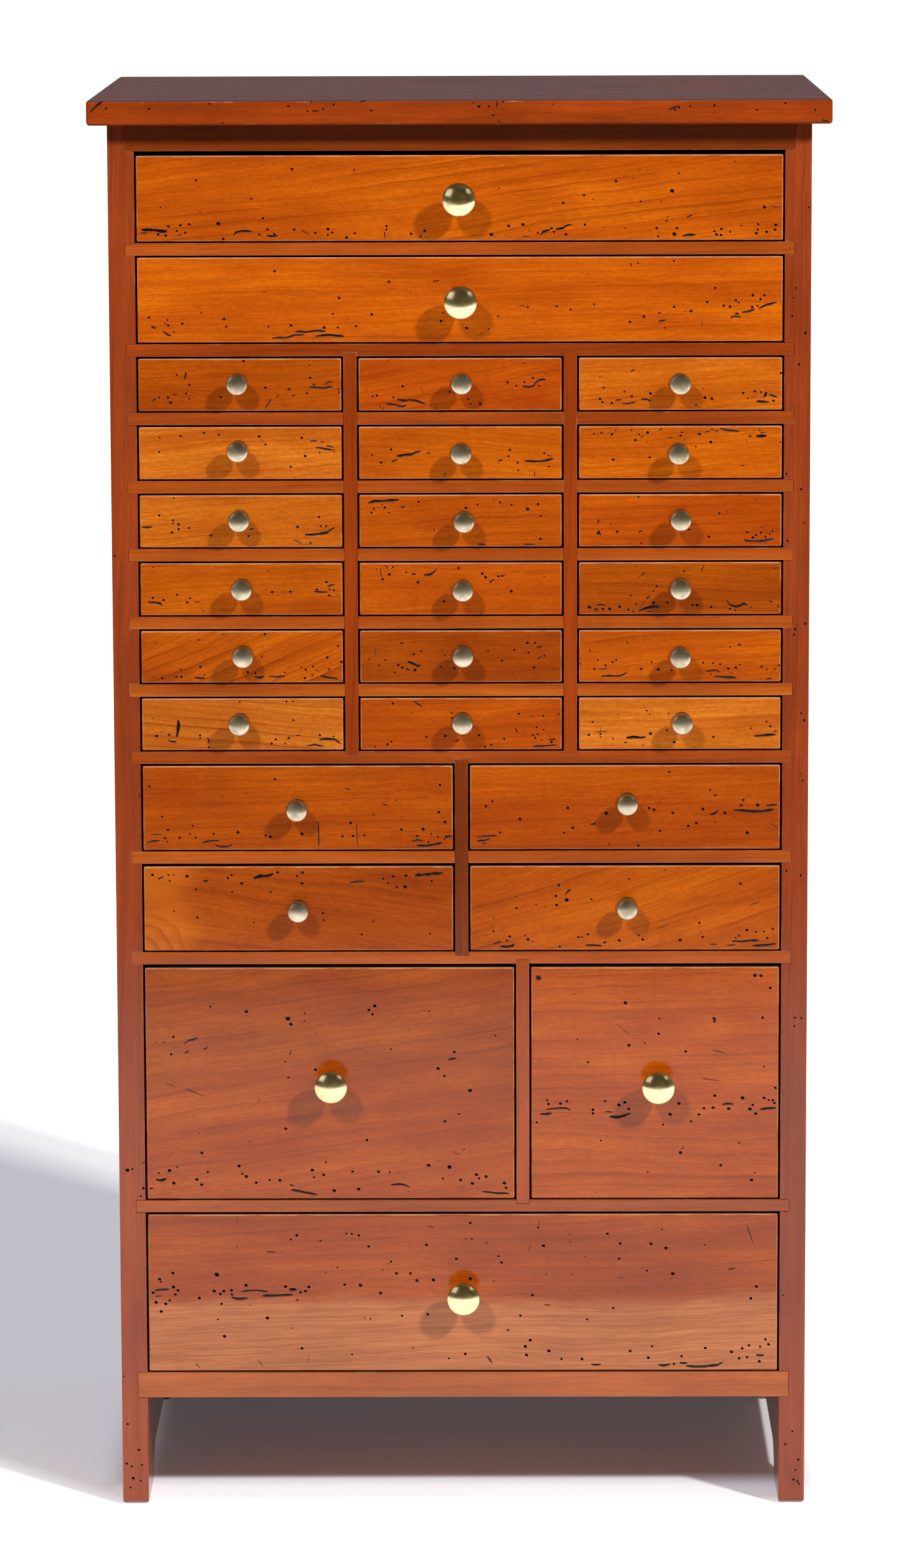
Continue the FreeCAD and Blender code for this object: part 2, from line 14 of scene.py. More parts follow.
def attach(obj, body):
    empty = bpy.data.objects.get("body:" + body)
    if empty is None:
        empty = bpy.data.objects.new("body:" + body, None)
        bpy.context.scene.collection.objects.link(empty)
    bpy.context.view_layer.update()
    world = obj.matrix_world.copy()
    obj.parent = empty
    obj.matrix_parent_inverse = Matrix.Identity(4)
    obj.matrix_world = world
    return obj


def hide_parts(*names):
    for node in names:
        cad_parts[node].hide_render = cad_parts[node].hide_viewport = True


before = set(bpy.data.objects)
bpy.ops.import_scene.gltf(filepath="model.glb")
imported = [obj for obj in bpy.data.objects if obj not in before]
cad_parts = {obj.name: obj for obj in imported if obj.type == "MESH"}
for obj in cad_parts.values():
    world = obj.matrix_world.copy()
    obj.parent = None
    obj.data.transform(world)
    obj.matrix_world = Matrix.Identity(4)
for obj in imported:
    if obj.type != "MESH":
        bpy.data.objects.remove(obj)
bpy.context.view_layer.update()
MM = 0.001
chance = random.Random(27)

# ---------------------------------------------------------------- sizes, in mm

FACE = -171.0           # front of the case and of every drawer
BACK = 197.0            # back of the case
INNER = 231.0           # half the width between the sides
LAP = 4.0               # wood in front of a drawer's sides
FRONT = 12.0            # thickness of a drawer front
LENGTH = 352.0          # a drawer, front to back
GAP = 1.3               # beside a drawer
FLOOR_GAP = 1.0         # under a drawer front
SIDE_GAP = 0.3          # under the sides of a drawer's box
BOX_DROP = 2.5          # top of the box under the top of the front
BOTTOM_UP = 4.0         # drawer bottom over the lower edge of the front
BOTTOM = 4.0            # thickness of a drawer bottom
FRONT_EASE = 1.15       # rounding of a drawer front's arrises
BOARD_EASE = 0.6        # rounding of the box's side and back boards
BOTTOM_EASE = 0.2       # rounding of a drawer bottom
DIVIDER = 9.7           # thickness of an upright divider
TOP_FACE = -189.0       # front edge of the top board
FOOT_WEAR = 2.6         # rounding of the feet where they meet the floor
HIT = 0.01              # a corner this close to a plane lies in it

# row: floor of its opening, height of the opening, gap over the drawer, box boards
ROWS = {
    "01": (926, 65, 3.2, 6.5), "02": (854, 63, 1.4, 6.5), "03": (805, 40, 1.4, 6.5),
    "04": (756, 40, 1.4, 6.5), "05": (707, 40, 1.4, 6.5), "06": (658, 40, 1.4, 6.5),
    "07": (609, 40, 1.4, 6.5), "08": (560, 40, 1.4, 6.5), "09": (487, 64, 1.6, 6.5),
    "10": (413, 65, 2.2, 6.5), "11": (229, 175, 2.8, 9), "12": (100, 120, 1.9, 9),
}
SMALL = (INNER * 2 - DIVIDER * 2) / 3
HALF = (INNER * 2 - DIVIDER) / 2
LARGE_SPLIT = 44.0      # the lower divider, right of the middle


# ---------------------------------------------------------------- marks of wear

# Per drawer, from the middle of its front.  Holes are "across up radius"; tracks are
# "width: across up across up ..."; a width under SCRATCH is a scratch.

SCRATCH = 0.7
WIDE_HOLE = 2.0         # a hole with a larger radius is only a shallow dent
PROUD = 0.6             # how far the cutting tools stand out of the face
TRACK_STEP = 3.2        # about how often a gallery wanders

HOLES = {
    "01": "-207 -19.5 .9, -201 -22.8 .8, -198.4 -18.8 .9, -195 -24 .8, -192.2 -18.1 .9,"
          "-208.9 -26 1, -219.5 -22.2 1, -214.3 -25.2 .9, -171.5 -17.7 1.4, -168 -28.6 1,"
          "-139.8 -13.9 .8, -136.5 -21.9 1, -142.3 -25.5 1, -131.7 -25.2 .9, -117.6 -22 1,"
          "-118.9 20.8 1, -187 13.1 .8, -102.6 -24.4 .9, -93.6 -21.7 1, -90.6 -24.2 .9,"
          "-93.7 -25.9 .8, -80.4 -27.7 1, -74.5 -24.8 .9, -52 -19.8 .9, -52 -22.2 .7,"
          "-34.5 -25.2 .9, -24.8 -23.1 1, -74.7 20.2 .7, -148 0 .7, -212.5 -6 .6,"
          "22.5 -25.9 1.2, 34.8 -19.8 1, 45 -18.8 1.2, 55.5 -24.8 .8, 65.3 -21.6 1,"
          "66.9 -24.1 .9, 75.5 -25.9 1, 89 -19 .8, 73.6 -3.6 .9, 88.3 1.7 .9, 111 11.7 1,"
          "28.1 6.9 .6, 128.4 -2.7 .7, 143 -2.8 .6, 150.8 4.7 1.4, 155.6 17.3 .7,"
          "140 -21.6 .9, 141 -27.5 .8, 147 -16.4 .8, 154.4 -21.7 1, 152.5 -26 1.3,"
          "185.8 -22.5 .9, 185.6 -26.6 .9, 182.5 -26.3 1.1, 181 -24 .8, 192.2 -24.4 .8,"
          "199.8 -20 .6, 212 -19 .9, 211.6 -23 .8, 210.6 -25.5 1, 218 -24.5 1, 224 -23 .9,"
          "224.5 -19.7 1, 216.4 -7 1.1, 117.3 -21.6 .5, 94.5 -1.3 .5",
    "02": "-221.5 -12.2 .9, -208.3 -14 .7, -207.8 -17.8 .9, -210 -16.5 .6, -197.8 -16.6 .9,"
          "-203.7 -22.7 .7, -168 -13.4 .9, -166.5 -18.9 .8, -136.4 -18.9 .7, -120.4 -18.1 1,"
          "-131.7 20.5 .9, -96.7 -19.7 1.1, -87 -19.7 .8, -74 -18.7 .9, -62.8 -10.3 .9,"
          "-90.4 -9.8 .7, -13.4 -15.2 .9, -12 -9.5 .7, -86 1.4 1.1, -50.4 12.8 .9,"
          "-184.2 -8.8 .6, 4.7 -20.3 1, 27.3 -12 .7, 48.3 -5.5 .8, 68.9 -5 .8, 78.8 -7.3 .8,"
          "95.5 -3.6 .8, 121 -16.2 1, 131 -12.5 1, 141.9 -10 .8, 152.5 -5.6 .9,"
          "164.5 -8.6 1, 176 -2.3 .9, 181.7 7.8 .9, 187.8 -4.8 1, 192.2 -5.5 .9,"
          "196.4 -1 .9, 198.4 -2.6 .7, 208.4 2.5 1, 213.9 -.2 1, 216.6 2.5 .9, 208 -6 .9,"
          "211.9 -5 .8, 126.6 25.6 .7, 152.2 27.2 .8, 146 -20.5 .6, 20.3 -21 .6",
    "03_left": "-44.7 7.3 .7, -36 .2 .8, -38.3 -6 .8, -36 -10 .7, -57.8 -9 .8, -51.3 -9 .9,"
               "-49.5 -12.5 1.1, -13.8 -8.7 .9, 18.3 -2 1, 35 -3.2 .9, 38.2 -7.7 .8,"
               "48 -6 .7, 50.3 5 .9, 53 .3 .8, 50 14 .6, 2.8 17 .9, 70.5 -3.3 .7, 70.5 -5.4 .6",
    "03_middle": "-41 -1.3 .9, -62.5 -8.4 .7, -59.5 -7.8 .8, -47.7 -9 .7, -7.5 -5.3 .8,"
                 "5.8 -10.8 .8, 7.3 -13.8 .7, 14.3 -13.8 1, 33.8 1.4 .8, 40 -1.1 .8,"
                 "45.8 1.6 .7, 56.3 -1.2 .8, 52 4.6 .8, 46 15 .5, 58.5 16 .5, 61 7.5 .5",
    "03_right": "-57.5 5 .5, -54.8 -2.5 .8, -40 -5.5 .7, -34.8 -8.8 .9, -21.5 -6.8 1,"
                "-57.5 -10.7 .9, -55.8 -13 .8, -49 -13.5 1, 17.3 -10 1.1, 22.3 -10.7 1,"
                "16.3 -3.3 .5, 44.7 -6.8 .9, 53 -5.5 .8, 57.2 -6 .8, 47.8 -10.4 .7,"
                "66.3 -12.2 .9, 11 -15 .6, 71.5 7.5 .8",
    "04_left": "-57.7 11.5 .7, -42.5 12.5 .8, -26 14.8 .8, -15.3 13.3 .8, -58 1.2 .8,"
               "13.5 12 .9, 18 6.3 .8, 44 11 .9, 46.3 -2 .9, 36 -9.7 .8, 56.8 .3 .7",
    "04_middle": "-49.5 2.5 1, -63 -1.7 .7, -56.7 -6.7 1, 35.3 2 .8, 34.3 -2.5 .8,"
                 "41 -7.2 .8, 41.3 -12.5 .7, 63.3 -10 .8, 60 -.4 .8",
    "04_right": "-56.3 14 .8, -62 13.5 .6, -35 16 .7, -23.5 14.2 1.1, -29.5 13 .6,"
                "-27.5 11.2 .6, -32.2 8.8 1.1, -24.3 7 .5, 0 11.9 .9, 1 14.3 .7, 13.5 13 1,"
                "21.7 7.2 1.1, 11 4 .6, 22.5 16.5 .7, -48 -5.2 .9, -22 -3.7 .8, 56.5 15.7 .7,"
                "71.5 7 .7, 47.5 8 .4",
    "05_left": "-58.4 4.4 .8, -48.7 .9 .8, -48.7 -1.3 .7, -44.7 -2 .9, -44.7 -5.5 .9,"
               "-49.5 -7.7 .9, -37.3 -4.6 .8, -21.5 -10 .9, 5.3 -10.5 .8, 55.8 3 .9,"
               "57 -3.6 .7, 61 -3.6 .7, 40.5 -4 1, -48 17 .6",
    "05_middle": "-30 13.7 .9, -56 12 .6, -54.2 9.8 .8, -62 8.8 .8, -63.8 6.1 .7,"
                 "-51.3 6 .6, 3.8 9.4 1, 12.2 11.8 .8, 28.3 13.2 .8, 36.5 11.5 .8,"
                 "55.5 11.9 1, 48 8.5 1.2, 57.3 3.3 .8, 57.2 -13.2 1, -19 -6.5 .6, 23.7 15 .5",
    "05_right": "-29.8 16.8 .7, -45 -8 1, -49.5 -2.7 .5, 28 5 .8, 33.5 6.2 .5, 20.5 -11.8 1,"
                "47.8 -8.7 .8, 57.7 -9 .8, 54.3 -10.8 .8, 61 -12 .8, 52 -12.4 .9,"
                "66 -8 .7, 64.1 -9.8 .6, 6.3 -6.5 .8, -28 -16.5 .7, 54 15 .5",
    "06_left": "-63 16 .6, -63.8 -6 .9, -56 -7.6 .9, -46.3 -3.8 .9, -37 -6.4 .8, -39 -9.4 .9,"
               "22 -2 .9, 35 -1.8 .9, 54 -.2 .8, 61 5.2 .8, 62.8 -4.6 .9, 66.3 -.8 .8",
    "06_middle": "-51.2 10.5 .9, -56 7 .9, -53 16 .7, -48.5 15.8 .7, -60.5 14.5 .5,"
                 "-39 12 .7, -30.7 4.8 1, -1.5 15 .9, 15.5 10.9 1, 17.9 8.2 1,"
                 "36.2 -1.8 1, 29.8 9.2 .9, 27 9 .8, -12 -9 .8, 26.5 -4 .4",
    "06_right": "2.7 12.3 .8, -16.7 1.5 .8, -65 -13.5 1.2, -50.5 -14.7 1.1, -43.3 -13.3 1.1,"
                "-37 -15.3 .8, -33.5 -16.7 .7, -31.5 -11.4 .8, -19 -10.3 1, -9 -10.3 .8,"
                "9 -12 .8, 12.2 -12 1.1, 22.3 -13.5 1, 35.7 -14.8 .8, 39.8 -15.8 .7,"
                "65 -9.8 .8, -19 -2 .5, -55.2 -14.8 .9, -35 -5 .7",
    "07_left": "-62 10.3 .5, -31 12.5 .7, 16.5 16.5 .8, -30 -7 1, -44 -9 .7, -47 -14.3 .7,"
               "-43.7 -14.3 .9, -57.5 -15.3 .8, 14.3 .3 .7, 4 -11 .9, 9.3 -11.8 .7,"
               "42.5 -7.7 .6, 45.7 -9.3 .9, 50.9 -7.2 .8, 61.3 -.5 .9, 62.5 -9 .8,"
               "50.3 -13.5 .7, 69 8 .7, 71.3 -3.7 1, 45 -15.5 .8, 30.5 -11.3 .6",
    "07_middle": "-42.5 9.8 .8, -28.5 4 .7, -34 1.8 .8, -58.7 -6.3 .7, -66 -2 .5,"
                 "-54.5 -2.3 .7, -45 -6.2 .9, -42.2 -7.9 .9, -47.5 -11.5 .7, -14.5 -7.3 .7,"
                 "-4.6 -8.6 1, -11.5 .8 .6, 19.5 3.8 .7, 29.3 -3.2 .8, 38.5 4.7 .8,"
                 "47.7 9.7 1, 53.3 9.7 .8, 60 .4 .8, 52.5 -8 .9, -33 -9.8 1",
    "07_right": "-64.5 4 .6, -37.7 10 .6, 42.7 8.2 .9, 36 6.3 .6, -59 -2.8 .7, -48.3 -4.3 .9,"
                "-45.7 -3 .8, -53.3 -6.6 .8, -61.3 -9.3 .8, -20.3 -4.3 .7, -27.8 -9.3 1,"
                "-15.5 -9.8 1.1, -6 -10.3 .8, 16.7 -5 .7, 24 -5.2 .7, 29 -6 .8, 34.8 -9.2 .9,"
                "40.2 -8.4 1, 42.9 -6.3 .7, 58.7 -7.8 .8, 62.5 -9.7 .6, 22.3 -13 .6,"
                "-71.3 -5.5 .6, 71.3 -7 .7, 68.5 -9.8 .5",
    "08_left": "-62 -8.3 1, -53 -7.5 .8, -58.5 -5.5 .5, -30.7 -7.8 .8, -30.7 -9.9 .7,"
               "36.5 3 .7, 31.7 16.6 .7, 36.5 16.6 .6, -2 16.5 .6, 23.8 -11 .8, 20.7 -14 .9,"
               "33 -10 .8, 55.5 -8 .9, 65.3 -8.9 .7, -24.5 -16.7 .7",
    "08_middle": "-49 15 .8, -25 -9.5 .9, -11.5 -8.8 1, -53 -14.7 .9, -50.3 -12.8 .8,"
                 "12.8 -8.2 .9, 21.7 -15.2 .8, 31 -11 .8, 41.5 7.3 .8, 59 5.8 .7,"
                 "51.5 -8.2 .8, 55 -7.5 .8, 53.2 -10.3 .8, 54.3 -2.5 .8, 59.3 -4.3 .7,"
                 "58 -12 .6, 65 -13.4 .9, -6.7 8 .7, -6.7 4.5 .6, -62 -16.3 .6, 17 -16.5 .8",
    "08_right": "-62.7 1.2 .7, -65.3 -8.2 .8, -57 -7.6 .8, -57 -9.8 .6, -21 -7.3 1.1,"
                "-47.8 -11 .6, -4 -13.5 1, 24.3 -9.8 1, 51.3 -3.5 .7, 62.5 1.2 .8,"
                "65.3 -2.2 .9, -9.3 -5 .7, -23.7 9.4 .7, -21.5 6.5 .5, -8 7.3 .6",
    "09_left": "-107 16 .8, -98 -6 .8, -16.5 21 .9, -76 -12.8 .8, -61 -18.7 .9,"
               "-43.5 -17.7 1.1, -74 -21.5 .8, -78 -19 .6, -94 -15.7 .9, -96 -21.9 .9,"
               "-94.5 -24.5 .6, -85.5 -21.5 1, -23.5 -20 .8, -20 -21 1.1, 2.7 -19 1.1,"
               "38 -11 1, 39.6 -20.5 1, 32 -20.8 .9, 47.7 -20 .8, 102.5 16.7 .9,"
               "101.7 -3.3 .9, 106 -10.5 1.1, 90.2 -15.7 1.2, 74.5 -16 .9, 86 -20.6 .9,"
               "96 -19 .7, 101 -21.5 .8, 94 -25 .7, 71 5.5 .5, 54.5 -5 .6",
    "09_right": "-100.3 1 1, -95.5 4.7 .8, -41.3 -.3 1.1, -75.7 -8.5 1.1, -37.7 -14.8 1,"
                "-90 -18.2 .8, -13.5 -4.3 1.2, -43.8 -18.7 .7, 17.3 -.7 1.1, 20.9 -1.8 1,"
                "34.5 -4 1.1, 56.3 -1.5 1, 51.5 -11.7 .9, 45.7 -13.7 1, 25.3 -17.3 .9,"
                "88.3 -18.8 1.2, 31.7 25.7 .8, 65 8.7 .9, 61.3 12.7 .7, 85.3 5.2 1,"
                "83.8 1.3 .9, 95.7 1.4 1.1, 72 -4.2 1.2, 9.7 -28 .9, -11.7 -26.7 .6, 65 -10.8 .5",
    "10_left": "-105.5 25 1, -94 25 .7, -90.3 25 .6, -93 20.5 .8, -80.5 24 1.2,"
               "-48.3 24.8 .9, -51 22.6 .9, -41 18.7 1.1, -15 26.6 1, -1 23.8 .9, 3 26.5 1,"
               "2.7 18.5 1, 61.3 21.8 .9, 68.5 23.5 .9, 65 18.8 .7, 77.7 24 1, 71 15.5 .9,"
               "77 15.8 1.3, 96.3 20.2 .8, -74 14.3 .8, -73.3 -6.3 .8, -90 -1.7 .6,"
               "-48 12.7 .7, -20 12.5 .8, 17.5 -3.3 .8, 18 -8.5 .8, 54 -9.5 .7,"
               "45.5 -19 .7, 95 -18.5 .7, -32.5 -10 .6",
    "10_right": "-47.7 16.7 .9, -42 6 1.4, -49.8 9 .9, -49.3 2.2 1, -78.3 0 .9,"
                "-78.3 8.7 .6, -64 2.5 .6, -95 -16.8 .8, -24 6.5 .7, 3 21.5 .7, 83.5 17.7 1,"
                "-26.7 -19.2 .8, -33.5 -21.4 .8, -31 -21.4 .6, -4 -23.8 1, 10 -20 .7,"
                "13 -23.2 .9, -14.5 -25.3 .9, -47 -28.3 .9, 54 -11 .9, 56.3 -21.5 .9,"
                "40 -23.8 1.1, 88.3 -16.4 1, 95 -17.7 .7, 100.7 -17.5 .8, 107 -15.7 .9,"
                "82.7 -20.5 .7, 80.3 -22 .7, 103 -22.3 .9, -83.3 -20.8 1, -85.3 -23.6 .8,"
                "-70 -23 1, -66.5 -24.5 .6, -95 -7 .5, 55 -18 .5, -72 -20 .6",
    "11_left": "-113.6 35 1, -120.7 31 .6, -125.8 31 .5, -115.3 22 .8, -60.4 53.5 1.3,"
               "-30.4 48.2 1.6, -28.2 44 1.2, -18 52.2 .7, -18.5 46.4 .6, 28.4 54.5 1.1,"
               "32.7 57.5 1.3, 31 51.3 .9, 44.2 25.5 .7, 90.2 23.3 1.1, 78.4 11.1 1.2,"
               "82.9 5.5 .9, 101.6 -5.3 1.3, -10.7 10.4 1, -30.4 4.7 .8, -32.5 -33.3 1.1,"
               "26.4 -42 1, -93.8 -51.3 1.1, 83.3 -28.2 1, 93.5 -22.7 .7, -117.5 -64.4 1.2,"
               "-111.8 -61.8 .7, -125.3 -66.2 .7, -114.4 -73.8 1.2, -97.6 -71.1 1.2,"
               "-94.2 -74.9 1.1, -89.6 -65.6 .9, -66.7 -61.1 1.2, -64.4 -66.9 .8,"
               "-61.5 -68.9 1.2, -54.4 -73.5 1.1, -44.7 -71.5 .9, -37.1 -71.8 1.1,"
               "-13.5 -64.2 1.2, -12.2 -69.6 .8, -5.1 -67.8 1.2, -3.6 -58.4 .7, 2.4 -79.6 1.3,"
               "20.2 -78.5 1.2, 15.8 -65.3 .9, 34.7 -65.5 1.2, 42.9 -65.6 .7, 71.3 -60.9 1.2,"
               "86.4 -62.2 1.6, 81.6 -70.7 .8, 94.4 -71.8 1.1, 106 -67.8 1.1, 107.8 -70.6 .9,"
               "113.1 -69.3 1.1, 103.1 -74.4 1.1, 126.4 -74.2 1.1, 127.6 -77.7 1,"
               "-86.5 57.3 .7, 120 35.3 .6, 72 53.5 .6, -32.5 16.4 .6, -95.8 -36.5 .5,"
               "-59 -43 .5, 97 -49 .6",
    "11_right": "-84.5 78 2.2, -21.5 59.4 1.3, 72.3 79.4 1.2, 76.6 79.2 1.2, 83.4 70.2 1.1,"
                "3.2 47.8 .7, 42.9 47.6 1.2, 43.1 45.6 .9, 78 48.3 1, -18.9 28 1.1, -7.4 29.7 .6,"
                "-56.2 32.5 .6, 2.6 36.6 .9, 22.3 23.4 1, -48.5 15.5 .8, 79 12 .7,"
                "87.5 -3.7 1.1, -77.4 -15.4 1, -78.3 -12.6 .8, -68.6 -15.1 1.1, -63.8 -13.4 1,"
                "-45 -19.7 1, -44.9 -22.4 1, -36.2 -13.4 .9, -26 -16.2 1.2, -21.8 -14.3 1.2,"
                "-19 -19 1, 17.5 -15.2 1.2, 11.1 -23.2 1.1, 35.7 -18.8 1, 42.3 -18.3 1,"
                "32 -23.4 1, 26.3 -28.5 .8, 43.5 -9.4 1.1, 53.7 -19.1 1.2, 63.7 -11.1 1.4,"
                "69.1 -19.4 1.3, 73.2 -22.8 1.1, 71.1 -16.4 .9, 79.4 -11.2 1.1, 82.6 -12.8 .8,"
                "85.7 -12.9 1, 86.9 -15 1, 18.7 -51.7 1.3, 70.5 -72.2 1.2, 48 -61.2 1,"
                "6 -30.8 .8, -5 -66 .7, -39.2 -42.6 .7, -85.8 -29 .8, 61.4 -44.5 .6, "
                "72.9 -66.8 .6",
    "12": "-211.7 15 1.1, -221.5 10.4 1.1, -220.6 8.5 .8, -179.7 13.8 1.5, -226.4 .3 1.1,"
          "-211.5 4.5 1.2, -208.1 2 1.1, -210.1 -1.1 1, -214.3 -5.5 .9, -224.3 -6.9 1.1,"
          "-217.2 -8.1 1.1, -220.6 -13.8 1.1, -192.6 -3.8 1.1, -181.7 1.4 1.2, -174.7 1.4 1.1,"
          "-177.2 -.8 1, -169 2 1.1, -168.7 -1.2 1, -176.4 -8.1 1, -158.4 5.8 1.3,"
          "-129.5 4.8 1.2, -112.5 4.4 1.3, -115.1 1.3 1.1, -118.6 .4 1, -142.9 -18.8 1.2,"
          "-179.2 -19.8 .7, -174.5 -32.5 1.2, -117.8 -41.6 1.1, -121 43.1 1.2, -125.4 40 .8,"
          "-164.7 35 .5, -85 44.4 .8, -81 44.2 .9, -75.8 43 1.1, -103.9 39 .7, -68.7 34.7 1,"
          "-26.4 35.8 1, -4.7 25.3 1.1, -52.3 23.4 .9, -48.4 14.5 1.1, -38.2 14.5 1,"
          "-33.6 9.2 1.1, -21.5 9.5 1.3, -74.8 5.6 1.3, -86.4 6.1 1, -60.1 -.2 1.1,"
          "-91.4 18.9 .7, -100.4 15.5 .5, -44.5 -17.3 .9, -25.7 -16.3 1, -67.5 -19.4 .7,"
          "-71.8 -18.9 .6, -125.3 -26.4 .6, -81.2 -46.3 .7, -36.7 -41.6 .6, -10.4 -49.4 .8,"
          "-121 -5.3 .7, -58.6 17 .6, 5.5 10.4 1.2, 5.5 52.2 1, 6.6 40.2 .7, 2.3 40.2 .6,"
          "26.1 27.2 .8, 28.3 22.5 1, 55 48.8 .8, 58.9 35 1.1, 78 43.6 .6, 78.3 37.8 .5,"
          "105.6 43.9 1, 114.8 36.6 1, 114 25.3 .9, 89.2 27 .4, 137.3 36.3 1.2, 148.3 33.1 1.3,"
          "145.3 47 .6, 134.4 16.3 .8, 153.3 13.9 1.3, 176.6 35.5 .6, 214.4 4.2 1.1,"
          "210.3 -4.7 1.2, 60.9 13.6 .6, 79.8 13.6 .6, 22.7 8.8 .5, 50.8 -2 1, 109.8 -11.7 .9,"
          "42 -17.3 1, 90.8 -20.3 .9, 32.8 -28.1 .8, 45.6 -40.5 1.2, 46.4 -46.9 1.2,"
          "62.8 -43.9 1.2, 72 -50 1, 87 -50 1, 122.2 -44.1 1, 138.3 -40.5 1, 135.5 -49.1 1.1,"
          "159.8 -48.1 1, 154.3 -53.8 1, 177.2 -41.9 1.1, 196.3 -44.8 1.1, 204.1 -42.2 1.1,"
          "209.1 -40 1, 202 -49.7 1.1, 207.7 -48.8 1, 217.2 -40.9 .9, 221.1 -35.5 1,"
          "223.4 -39.2 1, 216.7 -52 1.1, 1.6 -46.1 1.1, 49.2 -35.8 1.1",
}

